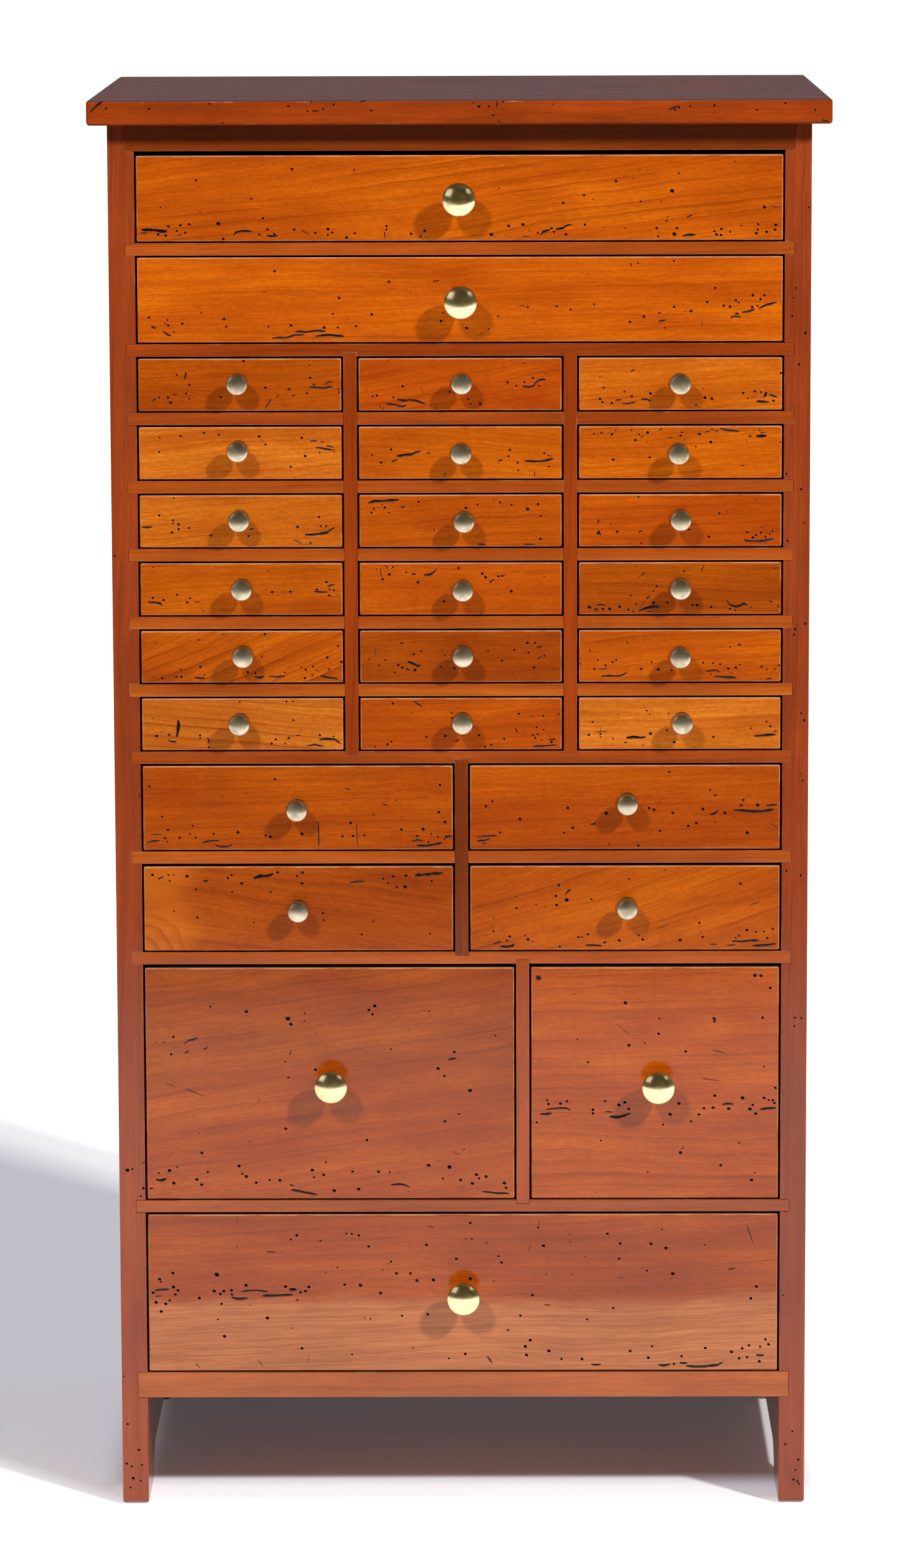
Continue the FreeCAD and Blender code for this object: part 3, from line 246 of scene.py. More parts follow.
TRACKS = {
    "01": "1.6: -226 -22 -220 -22 -213 -22.7 -208 -23.2; 1: -226.5 -24.3 -222 -24.2;"
          "1.3: -160.9 -26.2 -159.3 -23.9 -154.7 -23 -147.6 -23.3; 1: -200.5 -26 -197.5 -25;"
          "1.4: -137 -26.3 -133.6 -26.6 -129.5 -26.5; .7: -112.5 -22.2 -107 -25.9;"
          ".8: -53.3 -23.8 -53.3 -25.2 -52.9 -28; 1.3: -27.6 -26 -28.3 -28;"
          ".9: 44.8 -27.2 49.4 -27.2; 1.3: 57.3 -26.6 59 -24.4 62.5 -22.9 64 -22.8;"
          "1.2: 68 -22.5 73.4 -21.6 75.5 -20 79.7 -19; 1.2: 158.3 -27.3 162.5 -26.4 167.5 -26.4;"
          ".8: 161 -14.2 165.6 -12.2; .6: 122.8 12 123.3 14.8; .6: 101.3 -21.3 104.4 -20.9;"
          ".4: 221 -6 226.5 -7.2; .4: 49.7 -21 49.5 -24",
    "02": "1.8: -219.7 -18.9 -216.7 -19.7; 1.1: -211.8 -21.5 -209.3 -24 -205.8 -25.5;"
          "1: -133.6 -27.2 -128.9 -26.7 -124.2 -27 -119.5 -25.6 -117.2 -24.9 -110.9 -24.6;"
          "1.1: -117.2 -22.4 -110 -22.8 -102.3 -22 -95.6 -22.5;"
          "1.2: -102.9 -25.9 -97.6 -25 -90.6 -25.2 -82.5 -26.1; 1: -19 13 -14.8 13.7;"
          ".5: -187 -5.6 -184.7 -4.7; .7: 43 -4 46.4 -4.9; 1: 141.4 -15.8 146.6 -15;"
          "1.2: 192.5 -13.4 195.3 -12.4 200 -12.9; 1.8: 196 -10.4 198.6 -10.6;"
          "1.1: 200.6 -9.5 204.7 -8.9 210 -7.6; 1: 212.5 -6.9 218 -4.4 225.2 -2.5;"
          ".9: 121.9 23 121.6 25.8; .6: 172.2 -14.8 172.7 -18.9; .5: 91.4 19.5 91.6 16.7",
    "03_left": "1.2: -62.5 -11.2 -60 -9.7; .9: -48 -6.8 -44.5 -7; 1.6: -39.3 4.5 -38.2 9;"
               "1.1: 25.7 -9 28 -7; 1: 50 -1.7 55 -1.9 60 -2.3 66 -1.4; .9: 60.3 .1 63 1.6 66 2.1;"
               ".8: 18 -16.7 22.5 -10; .3: 31.5 -16.5 33 -13.5; .3: 45 -17 47 -16; "
               ".6: 33 14 34 17",
    "03_middle": "1.1: -45 -10.8 -40 -11.5 -36 -11.3 -32 -11.5 -28 -12.8 -25 -13.8;"
                 "1: -53 -13.8 -47 -14.5 -41 -16 -38.5 -14.5;"
                 "1.1: 44.5 -1.3 49 -2.1 52.5 -1.1 54 1.3 56 3 61 3.4;"
                 ".35: -29 -2 -25.5 -6.5; .8: -57.5 -14.6 -56.5 -16.8",
    "03_right": "1.4: -35.5 8.8 -33.3 10.3; 1.2: -46.5 -11.7 -42.5 -11.2;"
                "1: -41.5 -14 -37 -14.2 -32 -12.8; 1.2: -28 -11 -24.5 -11 -21 -12.3;"
                "1.1: 54 -12.7 59 -13 63 -13.2; 1.4: 59.5 -9.9 60.7 -7.8 61 -5.8;"
                "1: 63 -7.8 66 -8.5 69 -9.8; .4: 50 -10.5 55 -8.3",
    "04_left": ".8: 50 8.6 55 9; .9: 57.5 8.2 60 8; .9: 54 3.9 59 3.5 63 2.6 66 2.3;"
               ".9: 61.5 5 64 4.8 66.5 4.2; .4: 14.4 11 17.2 7.4; .6: 44.7 13.2 47 15.5;"
               ".8: 67.4 2.6 66.8 .6",
    "04_middle": "1.3: -49 -6.2 -45 -5; 1.3: -45.5 -2.3 -40 -1.7 -35 -1.2 -32 .5 -28.5 1.3;"
                 "1.1: -24 .2 -21.5 -.3; 1.4: 27 -6.3 30 -5;"
                 "1.2: 46 -6 52 -6.3 58 -6.2 63 -5.3 66.5 -4.5; .8: 66 -2.7 62 -2.1;"
                 "1: -11.5 -16.6 -10.5 -14; .8: 53 -17 53 -13.5",
    "04_right": "1.8: -49.8 12.3 -48 13.3; 1.2: -47 15.5 -45.5 16.5; 1.1: -15.5 15.5 -13.5 16.8;"
                ".8: -9 10.5 -5.5 10.5; .8: 17.5 14.7 21 15; 1.1: 24.5 15.2 27 15.7;"
                "1.1: 28.5 16.8 33 15.9 38 15.2 42 14.8; 1.5: 48.5 11 50.5 11.5;"
                "1.6: 54 11.3 58 11.4 61.5 11.6; 1: 57 13.7 60 14.1; .8: 43 -9.8 46 -9.5",
    "05_left": "1.1: -71 -4 -67 -4.2 -63.5 -3.8; 1.2: 6 -5.8 9 -5.2; .7: 38 -13 43.5 -16.5;"
               "1.2: 46 -9.8 52 -9.6 58 -9 62 -8 64 -6 67 -4.6; 1.4: 49 -15 50.5 -16.3",
    "05_middle": "1.3: -66 13.2 -61 14.3 -54 14.4 -48 15.1 -44 15.4; 1.4: -42.5 9.8 -40 10.3;"
                 ".8: 12 -16.7 18 -16.9; .9: 45 -17 53 -17",
    "05_right": "1.6: -59.5 -1.5 -57.8 .5; 1.7: -59.8 -9.5 -58.2 -8.2 -56.8 -10.3;"
                "1.4: -29.8 -8.3 -27 -7.2; "
                "1.1: 45.5 -12.5 46.4 -14.5 51 -15.2 57 -15.2 63 -14.2 67 -13.4",
    "06_left": "1.2: -67 -9 -62 -9.4 -58 -10 -57 -12; .8: -34 -9.2 -30 -9.2;"
               "1.1: 52 -1.6 57 -2.3 61.5 -2.1; 1.1: 61.8 2 64 2.9 66.5 3.5; 1: 63.6 -1.2 62.8 .7;"
               ".7: -29 -15 -26.5 -16",
    "06_middle": "1.6: -35 10.7 -32.5 10.7; 1.3: -26.5 10 -22 10.3 -19 12.3 -17 14.8;"
                 "1.4: 20.5 4.5 24 7; .45: -57.2 16.5 -57.3 11 -56.6 8.4",
    "06_right": "1.8: -61.5 -15.2 -58.5 -15; .9: -60 -12.3 -57.5 -11.5 -53.5 -12.3;"
                "1.8: -27.5 9.7 -25.5 11.5; 1: -29.5 7.8 -28.7 8.4; .7: -33 17 -31.3 15.5;"
                "1.6: -24 -7.3 -22 -5.9; .6: -24.8 -9 -29 -14;"
                "1.4: -29.5 -16 -25 -14.8 -20 -13 -14.5 -13.5; .8: -24 -16.8 -20.5 -16.6;"
                "1.2: 33.5 -9 36 -12 40 -13.2 43.5 -12.5 46 -11.2 48.5 -12.6;"
                ".9: 50 -14.2 51.7 -13; .9: 15.3 12.5 17.3 16.8; .9: 67 14 69.5 14.5;"
                "1.1: 69.5 -12.7 71.5 -14",
    "07_left": "1.3: -34 -14.8 -30 -15.5 -27 -15.2; 1: -27 -13.7 -26.8 -12.4;"
               "1.3: 9 -14.5 13 -15.1 15.5 -14.2; .9: 19.5 -14 25 -14.5 30.5 -14;"
               ".8: 52.5 -9.2 54.7 -10.6; 1: 56 -13.8 61 -15 67 -15.6 69 -16.4",
    "07_middle": "1.3: -38.5 -3.5 -34 -5.3 -31 -6.8 -29 -6.4; 1.6: -39.5 -8.7 -37 -9.7;"
                 "1.9: 48 3.5 49.3 2; 1.2: 54.5 6.5 58 7; 1.3: 55 -1.8 57.5 -.4;"
                 ".6: 64.5 -7.5 68 -10; .3: -61.5 7 -61.3 1; .5: 38.3 -14.5 39.5 -17",
    "07_right": ".7: -58.5 -9.2 -52 -9.2; 1: -56.5 -14.5 -50 -14.3 -44 -14.6 -41 -13.5 -38 -11.8;"
                "1: 18.5 -11.2 22 -10.7 26 -10.3 29 -12; 1.1: 25 -14.7 31 -15.4 40.5 -15.8;"
                "1.1: 62 -16.9 66 -16.3",
    "08_left": "1.5: -46.5 3.3 -46 0 -46.7 -5 -47.6 -9; 1.2: -53.5 -11.7 -50 -12.5 -48 -12.2;"
               "1.2: -25.5 -9.5 -24.2 -11.6 -25 -13.3; .9: 38 -8 41.5 -8; .6: 40 -6 43 -4;"
               "1: 29.5 -13.5 31.5 -14.5; .9: 46.5 -15.5 52 -14.8 58 -16;"
               "1.1: 55 -11.3 60 -10.6 66 -11.1 68 -12.5 70.3 -14",
    "08_middle": ".8: -34 16.5 -31 14.5 -28 12.5; 1.6: -4 -12.8 -1.5 -11.8;"
                 ".8: 39.3 -3 40 -5.8 42 -6.4; .6: 44 -5 45.5 -3; .8: 50 6 52 4.8;"
                 "1.1: 69.5 6.5 71 7.6; .9: 51.5 -16.6 58 -16.3 64 -15.9 68.5 -15.4;"
                 "1.1: 63 -11.8 68 -11.2",
    "08_right": "1.4: -38.5 -10.3 -33 -9.8 -28 -10.4 -24.5 -9.8; 1.2: -40 -14 -38 -13.5;"
                "1.2: 53.5 -9.3 60 -8.8 69 -8.2; 1: 67.5 -6.3 70 -5.3; .4: -57 -3 -57 -6.2;"
                ".35: -61 -6.2 -52 -5.6; .5: -44 3.5 -44 6; .4: -26.5 14.5 -24.6 11",
    "09_left": ".7: -106 -19 -99 -19; .9: -109 -25 -104 -24 -100 -23.6;"
               "1: -69 -25.3 -64 -24 -57 -23.7; 1: -60 -27 -56 -28.2 -51 -28.2 -47.5 -26.6;"
               "1.1: 61 3 64.5 1.8; 1.1: 34.5 14.5 37.5 13.2; 1.1: 82 -24.5 86 -23.5 90 -24.2;"
               "1.2: 85.5 -27.8 92 -27.8 99 -26.8 104 -25.6; 1.1: 105 -23.7 106.5 -21.5 111 -20.6;"
               ".7: 14.5 -9.5 15 -28; .4: 42 -11 43 -28; .5: -62.5 -.3 -64 .8;"
               ".5: 74 -6 77 -7.3; .5: 98 21.3 100 20",
    "09_right": ".9: -106 -21.3 -101 -21 -93 -20.5; 1.1: -106.5 -24.4 -101 -24 -97.5 -22.7;"
                ".9: -103 -26.2 -100 -26; 1.2: -25 -12.5 -21.5 -12 -20.8 -9.5;"
                "1.2: 61 -5.5 64.5 -4.7 67.5 -2.6; "
                "1.4: 78.5 -2.3 85 -2.5 92 -3.4 99 -3.2 107.5 -1.8;"
                "1.2: 102 1 109.5 1.7; .6: 16 -20.5 19.5 -17.5; .6: 104.5 -11.5 110 -15.3",
    "10_left": "1.3: -101.5 22 -97.5 23.7; 1.5: -68.5 20.7 -65.5 20.5;"
               "1.7: -32.5 22.3 -28 24 -23 24.3 -18 25.6; 1: 37 18.7 41 19.7 48 20;"
               "1.6: 84 24 89 24.5 94 25 99 25.5 104.5 26; .6: -22.7 8 -22.7 5;"
               ".5: 24 7 26 9.5; .5: 28 9.5 30.5 8.2",
    "10_right": "1.3: -43 10.5 -41 12.6 -39 13.5; 1: -95 -26 -91 -24.9 -89.5 -24.2;"
                "1.3: -90 -28 -85 -28.5 -81 -27.6 -79.5 -26;"
                "1: -28.5 -27.3 -22 -27.6 -16.5 -27.7; 1.1: 77.5 -24.5 84 -24.7 91 -24.2 97 -24;"
                ".7: 61.5 -26.7 67 -26.7; .9: 74 -27.7 80 -27.1; 1.1: 92.5 -28 99 -27.8 109 -26.5;"
                ".4: 23 -15.5 31.5 -12; .4: 90 2 98.5 4.5",
    "11_left": "1: -105.8 29.8 -102.5 32.2 -95.8 34; 1.2: -105.6 22.9 -102.5 24.4;"
               "1: -92 25.8 -89.5 26.4 -88.7 28.2; 1.3: -127.6 -70.9 -124.4 -72 -119.6 -70.7;"
               "1.3: 85.8 17.8 91.6 18.7; .9: -29.5 21.5 -28 24.7; 1.2: -29.8 -75 -26.7 -76;"
               "1.2: -28.9 -79 -22.5 -80 -15.3 -81.6 -10.2 -82.4;"
               "1: 43.8 -75.3 50.2 -74.9 54.7 -75.6 57.8 -77.5; "
               "1.1: 110.5 -80.4 119.3 -81.5 130 -82;"
               "1.2: -132.2 -77.8 -129.5 -77.5; .6: 93.5 -77.6 97.8 -77.6;"
               ".5: -105.3 -3.6 -91.3 -9.1; .35: -119.3 .5 -112.5 -2.2; .35: 88.4 -50 93.5 -53.3;"
               ".6: -52.5 -13.6 -51.6 -10.9; .3: -115.3 -50.9 -118 -54.5",
    "11_right": "1.2: -83.5 -22.8 -79.7 -23 -74.9 -22.3; "
                ".9: -78.9 -19.5 -71.2 -18.5 -64.3 -18.6 -60.9 -20.2;"
                ".9: -35.8 -21.1 -30.8 -21.5; 1.4: -33 -24.8 -26.6 -25.4 -22 -24.2 -17.7 -22.4;"
                "1.2: 49 -16 52.6 -15.1 57.2 -15.7; 1.2: 76.3 -19.7 82.6 -19 88 -18.5;"
                ".6: 34.2 3.5 40.3 2.3 46.5 2; .6: 41 24.3 51 22.5; .5: -27.8 44 -18.6 35.5;"
                ".4: -33 43 -31 45; .9: 19.5 -49.4 20.9 -47.2",
    "12": "1.1: -225 1.9 -221.8 2.6 -217.2 2.6 -214.6 3.2; .9: -224.5 -2.5 -220.3 -2;"
          "1.4: -169 -3.4 -164.8 -4.3 -161.4 -4.5 -157.3 -3.8; "
          "1: -162 .9 -157 1.7 -150.8 2 -142.6 .9;"
          "1.2: -146.4 -2.2 -138.3 -1.9 -130.4 -1.7 -124.2 -1.3; 1.5: -127 2.6 -121.4 2.6;"
          ".6: -156.5 -9.5 -153.9 -8.3; .7: -143 31 -136.4 30.6; .9: -196 -53.1 -192.6 -56;"
          ".5: -164.3 56 -164.5 53; .4: -150 -50.2 -146.4 -55.3; .4: -113.3 -47.8 -112.9 -51.7;"
          ".7: -25 49.8 -21 48.8; 1.2: 93.8 -54 97.7 -54.5 100.8 -54; "
          "1.2: 143 -54.6 146.9 -54.8 151.6 -54;"
          "1.3: 158.6 -53 164 -53.2; 1.3: 163.3 -55.4 168.8 -56 176.6 -55.9 185.9 -54.7 190 -52.5;"
          "1.4: 214.4 -47.2 220 -47.2; .8: 193.8 17.2 198.8 18.1; "
          ".5: 207 50.3 209.4 43.3 211.9 36.3;"
          ".4: 55.9 55 55.2 50.4; .3: 49.4 36.3 48.1 30.8; 1: 17.7 -47.8 21.1 -52.8;"
          ".6: 112.8 10.8 118 10.8; .8: 59.7 -9 64 -9.4; .7: 17.2 38.6 18.4 36.3",
}

# Per drawer: lightness, redness, slope of the figure, mm between growth lines, their
# strength.
WOODS = {
    "01": (.84, .35, .12, 9, .9), "02": (.91, .32, .02, 11, .5),
    "03_left": (.67, .5, .03, 8, .5), "03_middle": (.75, .8, .15, 9, .9),
    "03_right": (.95, -.1, .02, 7, .5), "04_left": (.93, -.2, .05, 8, .5),
    "04_middle": (.82, .2, -.04, 9, .5), "04_right": (.89, .14, .06, 8, .6),
    "05_left": (.88, -.15, .03, 9, .5), "05_middle": (.76, .45, .05, 8, .5),
    "05_right": (.81, .6, .04, 8, .6), "06_left": (.80, .18, .02, 5, .7),
    "06_middle": (.80, .5, .03, 9, .5), "06_right": (.68, .22, -.03, 8, .6),
    "07_left": (.79, .32, .4, 10, 1.3), "07_middle": (.62, .5, .04, 8, .7),
    "07_right": (.85, .34, .05, 8, .6), "08_left": (.86, -.3, -.08, 8, 1.1),
    "08_middle": (.78, .6, .04, 9, .7), "08_right": (.93, -.25, .02, 8, .5),
    "09_left": (.70, .5, .02, 9, .6), "09_right": (.71, .6, .03, 10, .6),
    "10_left": (.60, .6, -.12, 13, .7), "10_right": (.75, .32, .3, 16, .9),
    "11_left": (.61, .5, .15, 14, .7), "11_right": (.75, .45, .01, 9, .8),
    "12": (.61, .65, .03, 12, .6),
}

# How far each knob stands off the middle of its drawer, across and up.
KNOB_SHIFT = {
    "01": (-.5, 0), "02": (.5, -.5), "03_left": (-1.5, 1.5), "03_middle": (1, 1.5),
    "03_right": (-.5, 1), "04_left": (-1.5, 2.5), "04_middle": (.5, .5),
    "04_right": (-1.5, 0), "05_left": (-1, 1.5), "05_middle": (2.5, .5),
    "05_right": (0, 1.5), "06_left": (.5, 1), "06_middle": (1.5, 0), "06_right": (0, 1),
    "07_left": (1, 1.5), "07_middle": (1.5, 1.5), "07_right": (0, .5),
    "08_left": (-2, 1.5), "08_middle": (1, 2), "08_right": (1.5, 1.5),
    "09_left": (-.5, 0), "09_right": (1.5, 4), "10_left": (0, 0), "10_right": (1.5, 1.5),
    "11_left": (1, 1.5), "11_right": (2, .5), "12": (.5, 0),
}


# ------------------------------------------------------------------ bench tools

def take_up(piece):
    """Makes this piece the one that is worked on."""
    if bpy.context.object and bpy.context.object.mode != "OBJECT":
        bpy.ops.object.mode_set(mode="OBJECT")
    bpy.ops.object.select_all(action="DESELECT")
    piece.select_set(True)
    bpy.context.view_layer.objects.active = piece


def new_piece(name):
    """An empty mesh at the origin, open for editing."""
    piece = bpy.data.objects.new(name, bpy.data.meshes.new(name))
    bpy.context.scene.collection.objects.link(piece)
    take_up(piece)
    bpy.ops.object.mode_set(mode="EDIT")
    return piece


def close_piece():
    """Turns every face outwards and leaves the piece."""
    bpy.ops.mesh.select_all(action="SELECT")
    bpy.ops.mesh.normals_make_consistent(inside=False)
    bpy.ops.mesh.select_all(action="DESELECT")
    bpy.ops.object.mode_set(mode="OBJECT")


def choose(kind, test):
    """Selects the edges or faces whose corners pass the test."""
    bpy.ops.mesh.select_mode(type=kind)
    bpy.ops.mesh.select_all(action="DESELECT")
    data = bpy.context.object.data
    mesh = bmesh.from_edit_mesh(data)
    for part in (mesh.edges if kind == "EDGE" else mesh.faces):
        if test([corner.co / MM for corner in part.verts]):
            part.select_set(True)
    bmesh.update_edit_mesh(data)


def add_block(low, high):
    """A squared board between two corners, in mm, left selected."""
    bpy.ops.mesh.select_all(action="DESELECT")
    middle = [(a + b) / 2 * MM for a, b in zip(low, high)]
    size = [(b - a) * MM for a, b in zip(low, high)]
    bpy.ops.mesh.primitive_cube_add(size=1, location=middle, scale=size)


def round_off(ease, steps):
    """Rounds the selected edges."""
    bpy.ops.mesh.bevel(offset=ease * MM, segments=steps, affect="EDGES")


def add_board(low, high, ease):
    """A squared board with its arrises taken off."""
    add_block(low, high)
    round_off(ease, 2)


def add_cylinder(radius, low, high, across=0, up=0):
    """A round bar from one depth to another, in mm, left selected."""
    bpy.ops.mesh.select_all(action="DESELECT")
    bpy.ops.mesh.primitive_cylinder_add(
        vertices=24, radius=radius * MM, depth=(high - low) * MM,
        rotation=(math.radians(90), 0, 0),
        location=(across * MM, (low + high) / 2 * MM, up * MM))


def push_out(move):
    """Extrudes the selected faces by this much, in metres."""
    bpy.ops.mesh.extrude_region_move(TRANSFORM_OT_translate={"value": move})


def smooth_over(piece):
    """Rounded edges shade round and flat faces stay flat."""
    take_up(piece)
    bpy.ops.object.shade_smooth_by_angle(angle=math.radians(32))
    weigh = piece.modifiers.new("flat_faces", "WEIGHTED_NORMAL")
    weigh.keep_sharp = True
    bpy.ops.object.modifier_apply(modifier=weigh.name)


def note(piece, name, values):
    """Four numbers on the whole piece, for its material to read."""
    layer = piece.data.attributes.new(name, "FLOAT_COLOR", "POINT")
    layer.data.foreach_set("color", list(values) * len(piece.data.vertices))


def copy_piece(piece, name, move):
    """A copy with a mesh of its own, its place in the mesh."""
    twin = piece.copy()
    twin.data = piece.data.copy()
    twin.name = twin.data.name = name
    twin.data.transform(Matrix.Translation(Vector(move) * MM))
    bpy.context.scene.collection.objects.link(twin)
    return twin


def fit(piece, body, node):
    """Puts a finished piece on its body in place of the plain solids."""
    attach(piece, body)
    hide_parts(node)


# ------------------------------------------------------------------ worm marks

def numbers(text):
    """The numbers in a text, parted by spaces."""
    return [float(word) for word in text.split()]


def add_hole(x, z, radius, depth, rim, face):
    """Flight hole, wider at its worn rim, cut straight in from the face."""
    bpy.ops.mesh.select_all(action="DESELECT")
    bpy.ops.mesh.primitive_cone_add(
        vertices=8, radius1=radius * .62 * MM, radius2=rim * MM, depth=(depth + PROUD) * MM,
        location=(x * MM, (face + (depth - PROUD) / 2) * MM, z * MM),
        rotation=(math.radians(90), chance.uniform(0, .7), 0),
        scale=(chance.uniform(.94, 1.14), chance.uniform(.82, .96), 1))


def add_track(width, path, depth, face):
    """Open gallery along the face: a six-sided tube half in the wood, its ends closed."""
    points = [Vector((path[k], 0, path[k + 1])) for k in range(0, len(path), 2)]
    run = points[-1] - points[0]
    flat = abs(run.x) >= abs(run.z)
    if (run.x if flat else run.z) < 0:
        points.reverse()
    middle = face + depth - width * .5
    turn = (0, math.radians(90), 0) if flat else (0, 0, 0)
    bpy.ops.mesh.select_all(action="DESELECT")
    bpy.ops.mesh.primitive_circle_add(
        vertices=6, radius=width * .4 * MM, fill_type="NGON", rotation=turn,
        location=(points[0].x * MM, middle * MM, points[0].z * MM))
    steps = []
    for start, end in zip(points, points[1:]):
        count = max(1, round((end - start).length / TRACK_STEP))
        steps += [start.lerp(end, (k + 1) / count) for k in range(count)]
    here, girth = points[0], .4
    for k, spot in enumerate(steps):
        move = spot - here
        wander = chance.uniform(-.12, .12) * width if k < len(steps) - 1 else 0
        move += Vector((0, 0, wander)) if flat else Vector((wander, 0, 0))
        here = here + move
        wanted = .36 if k == len(steps) - 1 else chance.uniform(.5, .76)
        push_out(tuple(move * MM))
        bpy.ops.transform.resize(
            value=(wanted / girth,) * 3,
            center_override=(here.x * MM, middle * MM, here.z * MM))
        girth = wanted


def make_worm_cutter(name, centre, holes, tracks, shallow=1.0, face=FACE):
    """All the holes and tracks of one board as one tool."""
    cutter = new_piece(name)
    for mark in filter(str.strip, holes.split(",")):
        x, z, radius = numbers(mark)
        depth = 1.2 if radius > WIDE_HOLE else chance.uniform(2.4, 3.4)
        add_hole(centre[0] + x, centre[1] + z, radius, depth * shallow,
                 radius * chance.uniform(1.08, 1.25), face)
    for mark in filter(str.strip, tracks.split(";")):
        width, path = mark.split(":")
        width, path = float(width), numbers(path)
        path = [value + centre[k % 2] for k, value in enumerate(path)]
        if width < SCRATCH:
            add_track(max(width, .55), path, .3, face)
        else:
            add_track(width * 1.35, path, width * chance.uniform(.75, 1), face)
    close_piece()
    darken_cuts(cutter)
    return cutter


def darken_cuts(cutter):
    """What this tool cuts shows the board's second, dark material, whose deeper part is painted
    shade.
    """
    cutter.data.materials.append(WOOD["worm_hole"])
    cutter.data.materials.append(WOOD["worm_hole"])
    for face in cutter.data.polygons:
        face.material_index = 1


def eat_into(piece, cutter):
    """Cuts the worm marks out of a board; their walls keep the dark material."""
    take_up(piece)
    bite = piece.modifiers.new("worm_marks", "BOOLEAN")
    bite.operation, bite.solver, bite.object = "DIFFERENCE", "EXACT", cutter
    bite.use_self = True
    bite.material_mode = "INDEX"
    bpy.ops.object.modifier_apply(modifier=bite.name)
    bpy.data.objects.remove(cutter)


# ------------------------------------------------------------------ drawers

def drawer_list():
    """(place, row, middle, width of the opening) of all 27 drawers."""
    step = SMALL + DIVIDER
    half = (HALF + DIVIDER) / 2
    left = (LARGE_SPLIT - DIVIDER / 2 - INNER) / 2
    right = (LARGE_SPLIT + DIVIDER / 2 + INNER) / 2
    made = [(row, row, 0, INNER * 2) for row in ("01", "02", "12")]
    for row in ("03", "04", "05", "06", "07", "08"):
        made += [(f"{row}_{side}", row, x, SMALL)
                 for side, x in (("left", -step), ("middle", 0), ("right", step))]
    for row in ("09", "10"):
        made += [(f"{row}_left", row, -half, HALF), (f"{row}_right", row, half, HALF)]
    made += [("11_left", "11", left, INNER + LARGE_SPLIT - DIVIDER / 2),
             ("11_right", "11", right, INNER - LARGE_SPLIT - DIVIDER / 2)]
    return sorted(made)


SPECIAL_WOOD = {"12": "drawer_deep", "10_left": "drawer_curled"}


def make_front(place, x, low, high, half_width, board):
    """Drawer front: a lip across the whole face, narrower behind it where the sides
    are let in; arrises rubbed round and the face marked by worm."""
    front = new_piece(f"front_{place}")
    inner = half_width - board
    add_block((x - inner, FACE, low), (x + inner, FACE + FRONT, high))
    bpy.ops.mesh.select_all(action="SELECT")
    bpy.ops.mesh.bisect(plane_co=(0, (FACE + LAP) * MM, 0), plane_no=(0, 1, 0))
    for side in (-1, 1):
        end = x + side * inner
        choose("FACE", lambda spots: all(abs(spot.x - end) < HIT and
                                         spot.y < FACE + LAP + HIT for spot in spots))
        push_out((side * board * MM, 0, 0))
    bpy.ops.mesh.select_all(action="SELECT")
    bpy.ops.mesh.dissolve_limited(angle_limit=math.radians(1))

    def on_rim(spots):
        a, b = spots
        on_face = all(spot.y < FACE + HIT for spot in spots)
        at_end = all(abs(abs(spot.x - x) - half_width) < HIT for spot in spots)
        return on_face or (at_end and abs(a.z - b.z) < HIT)

    choose("EDGE", on_rim)
    round_off(FRONT_EASE, 3)
    close_piece()
    for wood in (SPECIAL_WOOD.get(place, "drawer_face"), "worm_hole"):
        front.data.materials.append(WOOD[wood])
    cutter = make_worm_cutter(f"worm_{place}", (x, (low + high) / 2),
                              HOLES[place], TRACKS.get(place, ""))
    eat_into(front, cutter)
    smooth_over(front)
    return front


def make_box(place, x, floor, low, high, half_width, board):
    """Two sides, a back and a bottom behind the front."""
    box = new_piece(f"box_{place}")
    top = high - BOX_DROP
    rear = FACE + LENGTH
    inner = half_width - board
    for side in (-1, 1):
        ends = sorted((x + side * inner, x + side * half_width))
        add_board((ends[0], FACE + LAP, floor + SIDE_GAP), (ends[1], rear, top), BOARD_EASE)
    panel = low + BOTTOM_UP
    add_board((x - inner, rear - board, panel + BOTTOM), (x + inner, rear, top), BOARD_EASE)
    add_board((x - inner, FACE + FRONT, panel), (x + inner, rear, panel + BOTTOM), BOTTOM_EASE)
    close_piece()
    box.data.materials.append(WOOD["box_board"])
    smooth_over(box)
    return box


# ------------------------------------------------------------------ knobs

def turn_knob(name, outline):
    """A knob turned on the lathe, foot at y = 0 and standing out towards -Y, and the
    screw that holds it."""
    knob = new_piece(name)
    first, *rest = outline
    bpy.ops.mesh.primitive_circle_add(
        vertices=56, radius=first[0] * MM, fill_type="NGON",
        rotation=(math.radians(90), 0, 0), location=(0, -first[1] * MM, 0))
    radius, out = first
    for next_radius, next_out in rest:
        push_out((0, -(next_out - out) * MM, 0))
        scale = next_radius / radius
        bpy.ops.transform.resize(value=(scale, 1, scale),
                                 center_override=(0, -next_out * MM, 0))
        radius, out = next_radius, next_out
    shank, head, head_height = 2, 3.8, 2.4
    add_cylinder(shank, 0, FRONT)
    add_cylinder(head, FRONT, FRONT + head_height)
    round_off(.5, 2)
    close_piece()
    return knob


def arc(start, end, bulge, count):
    """Points of (radius, out) on a circular arc that bows out by this much."""
    a, b = Vector(start), Vector(end)
    chord = b - a
    half = chord.length / 2
    side = Vector((chord.y, -chord.x)).normalized()
    size = (half * half + bulge * bulge) / (2 * abs(bulge))
    sign = 1 if bulge > 0 else -1
    hub = (a + b) / 2 + side * (bulge - sign * size)
    begin, finish = a - hub, b - hub
    sweep = begin.angle_signed(finish)
    made = []
    for k in range(1, count + 1):
        turn = Matrix.Rotation(-sweep * k / count, 2)
        made.append(tuple(hub + turn @ begin))
    return made


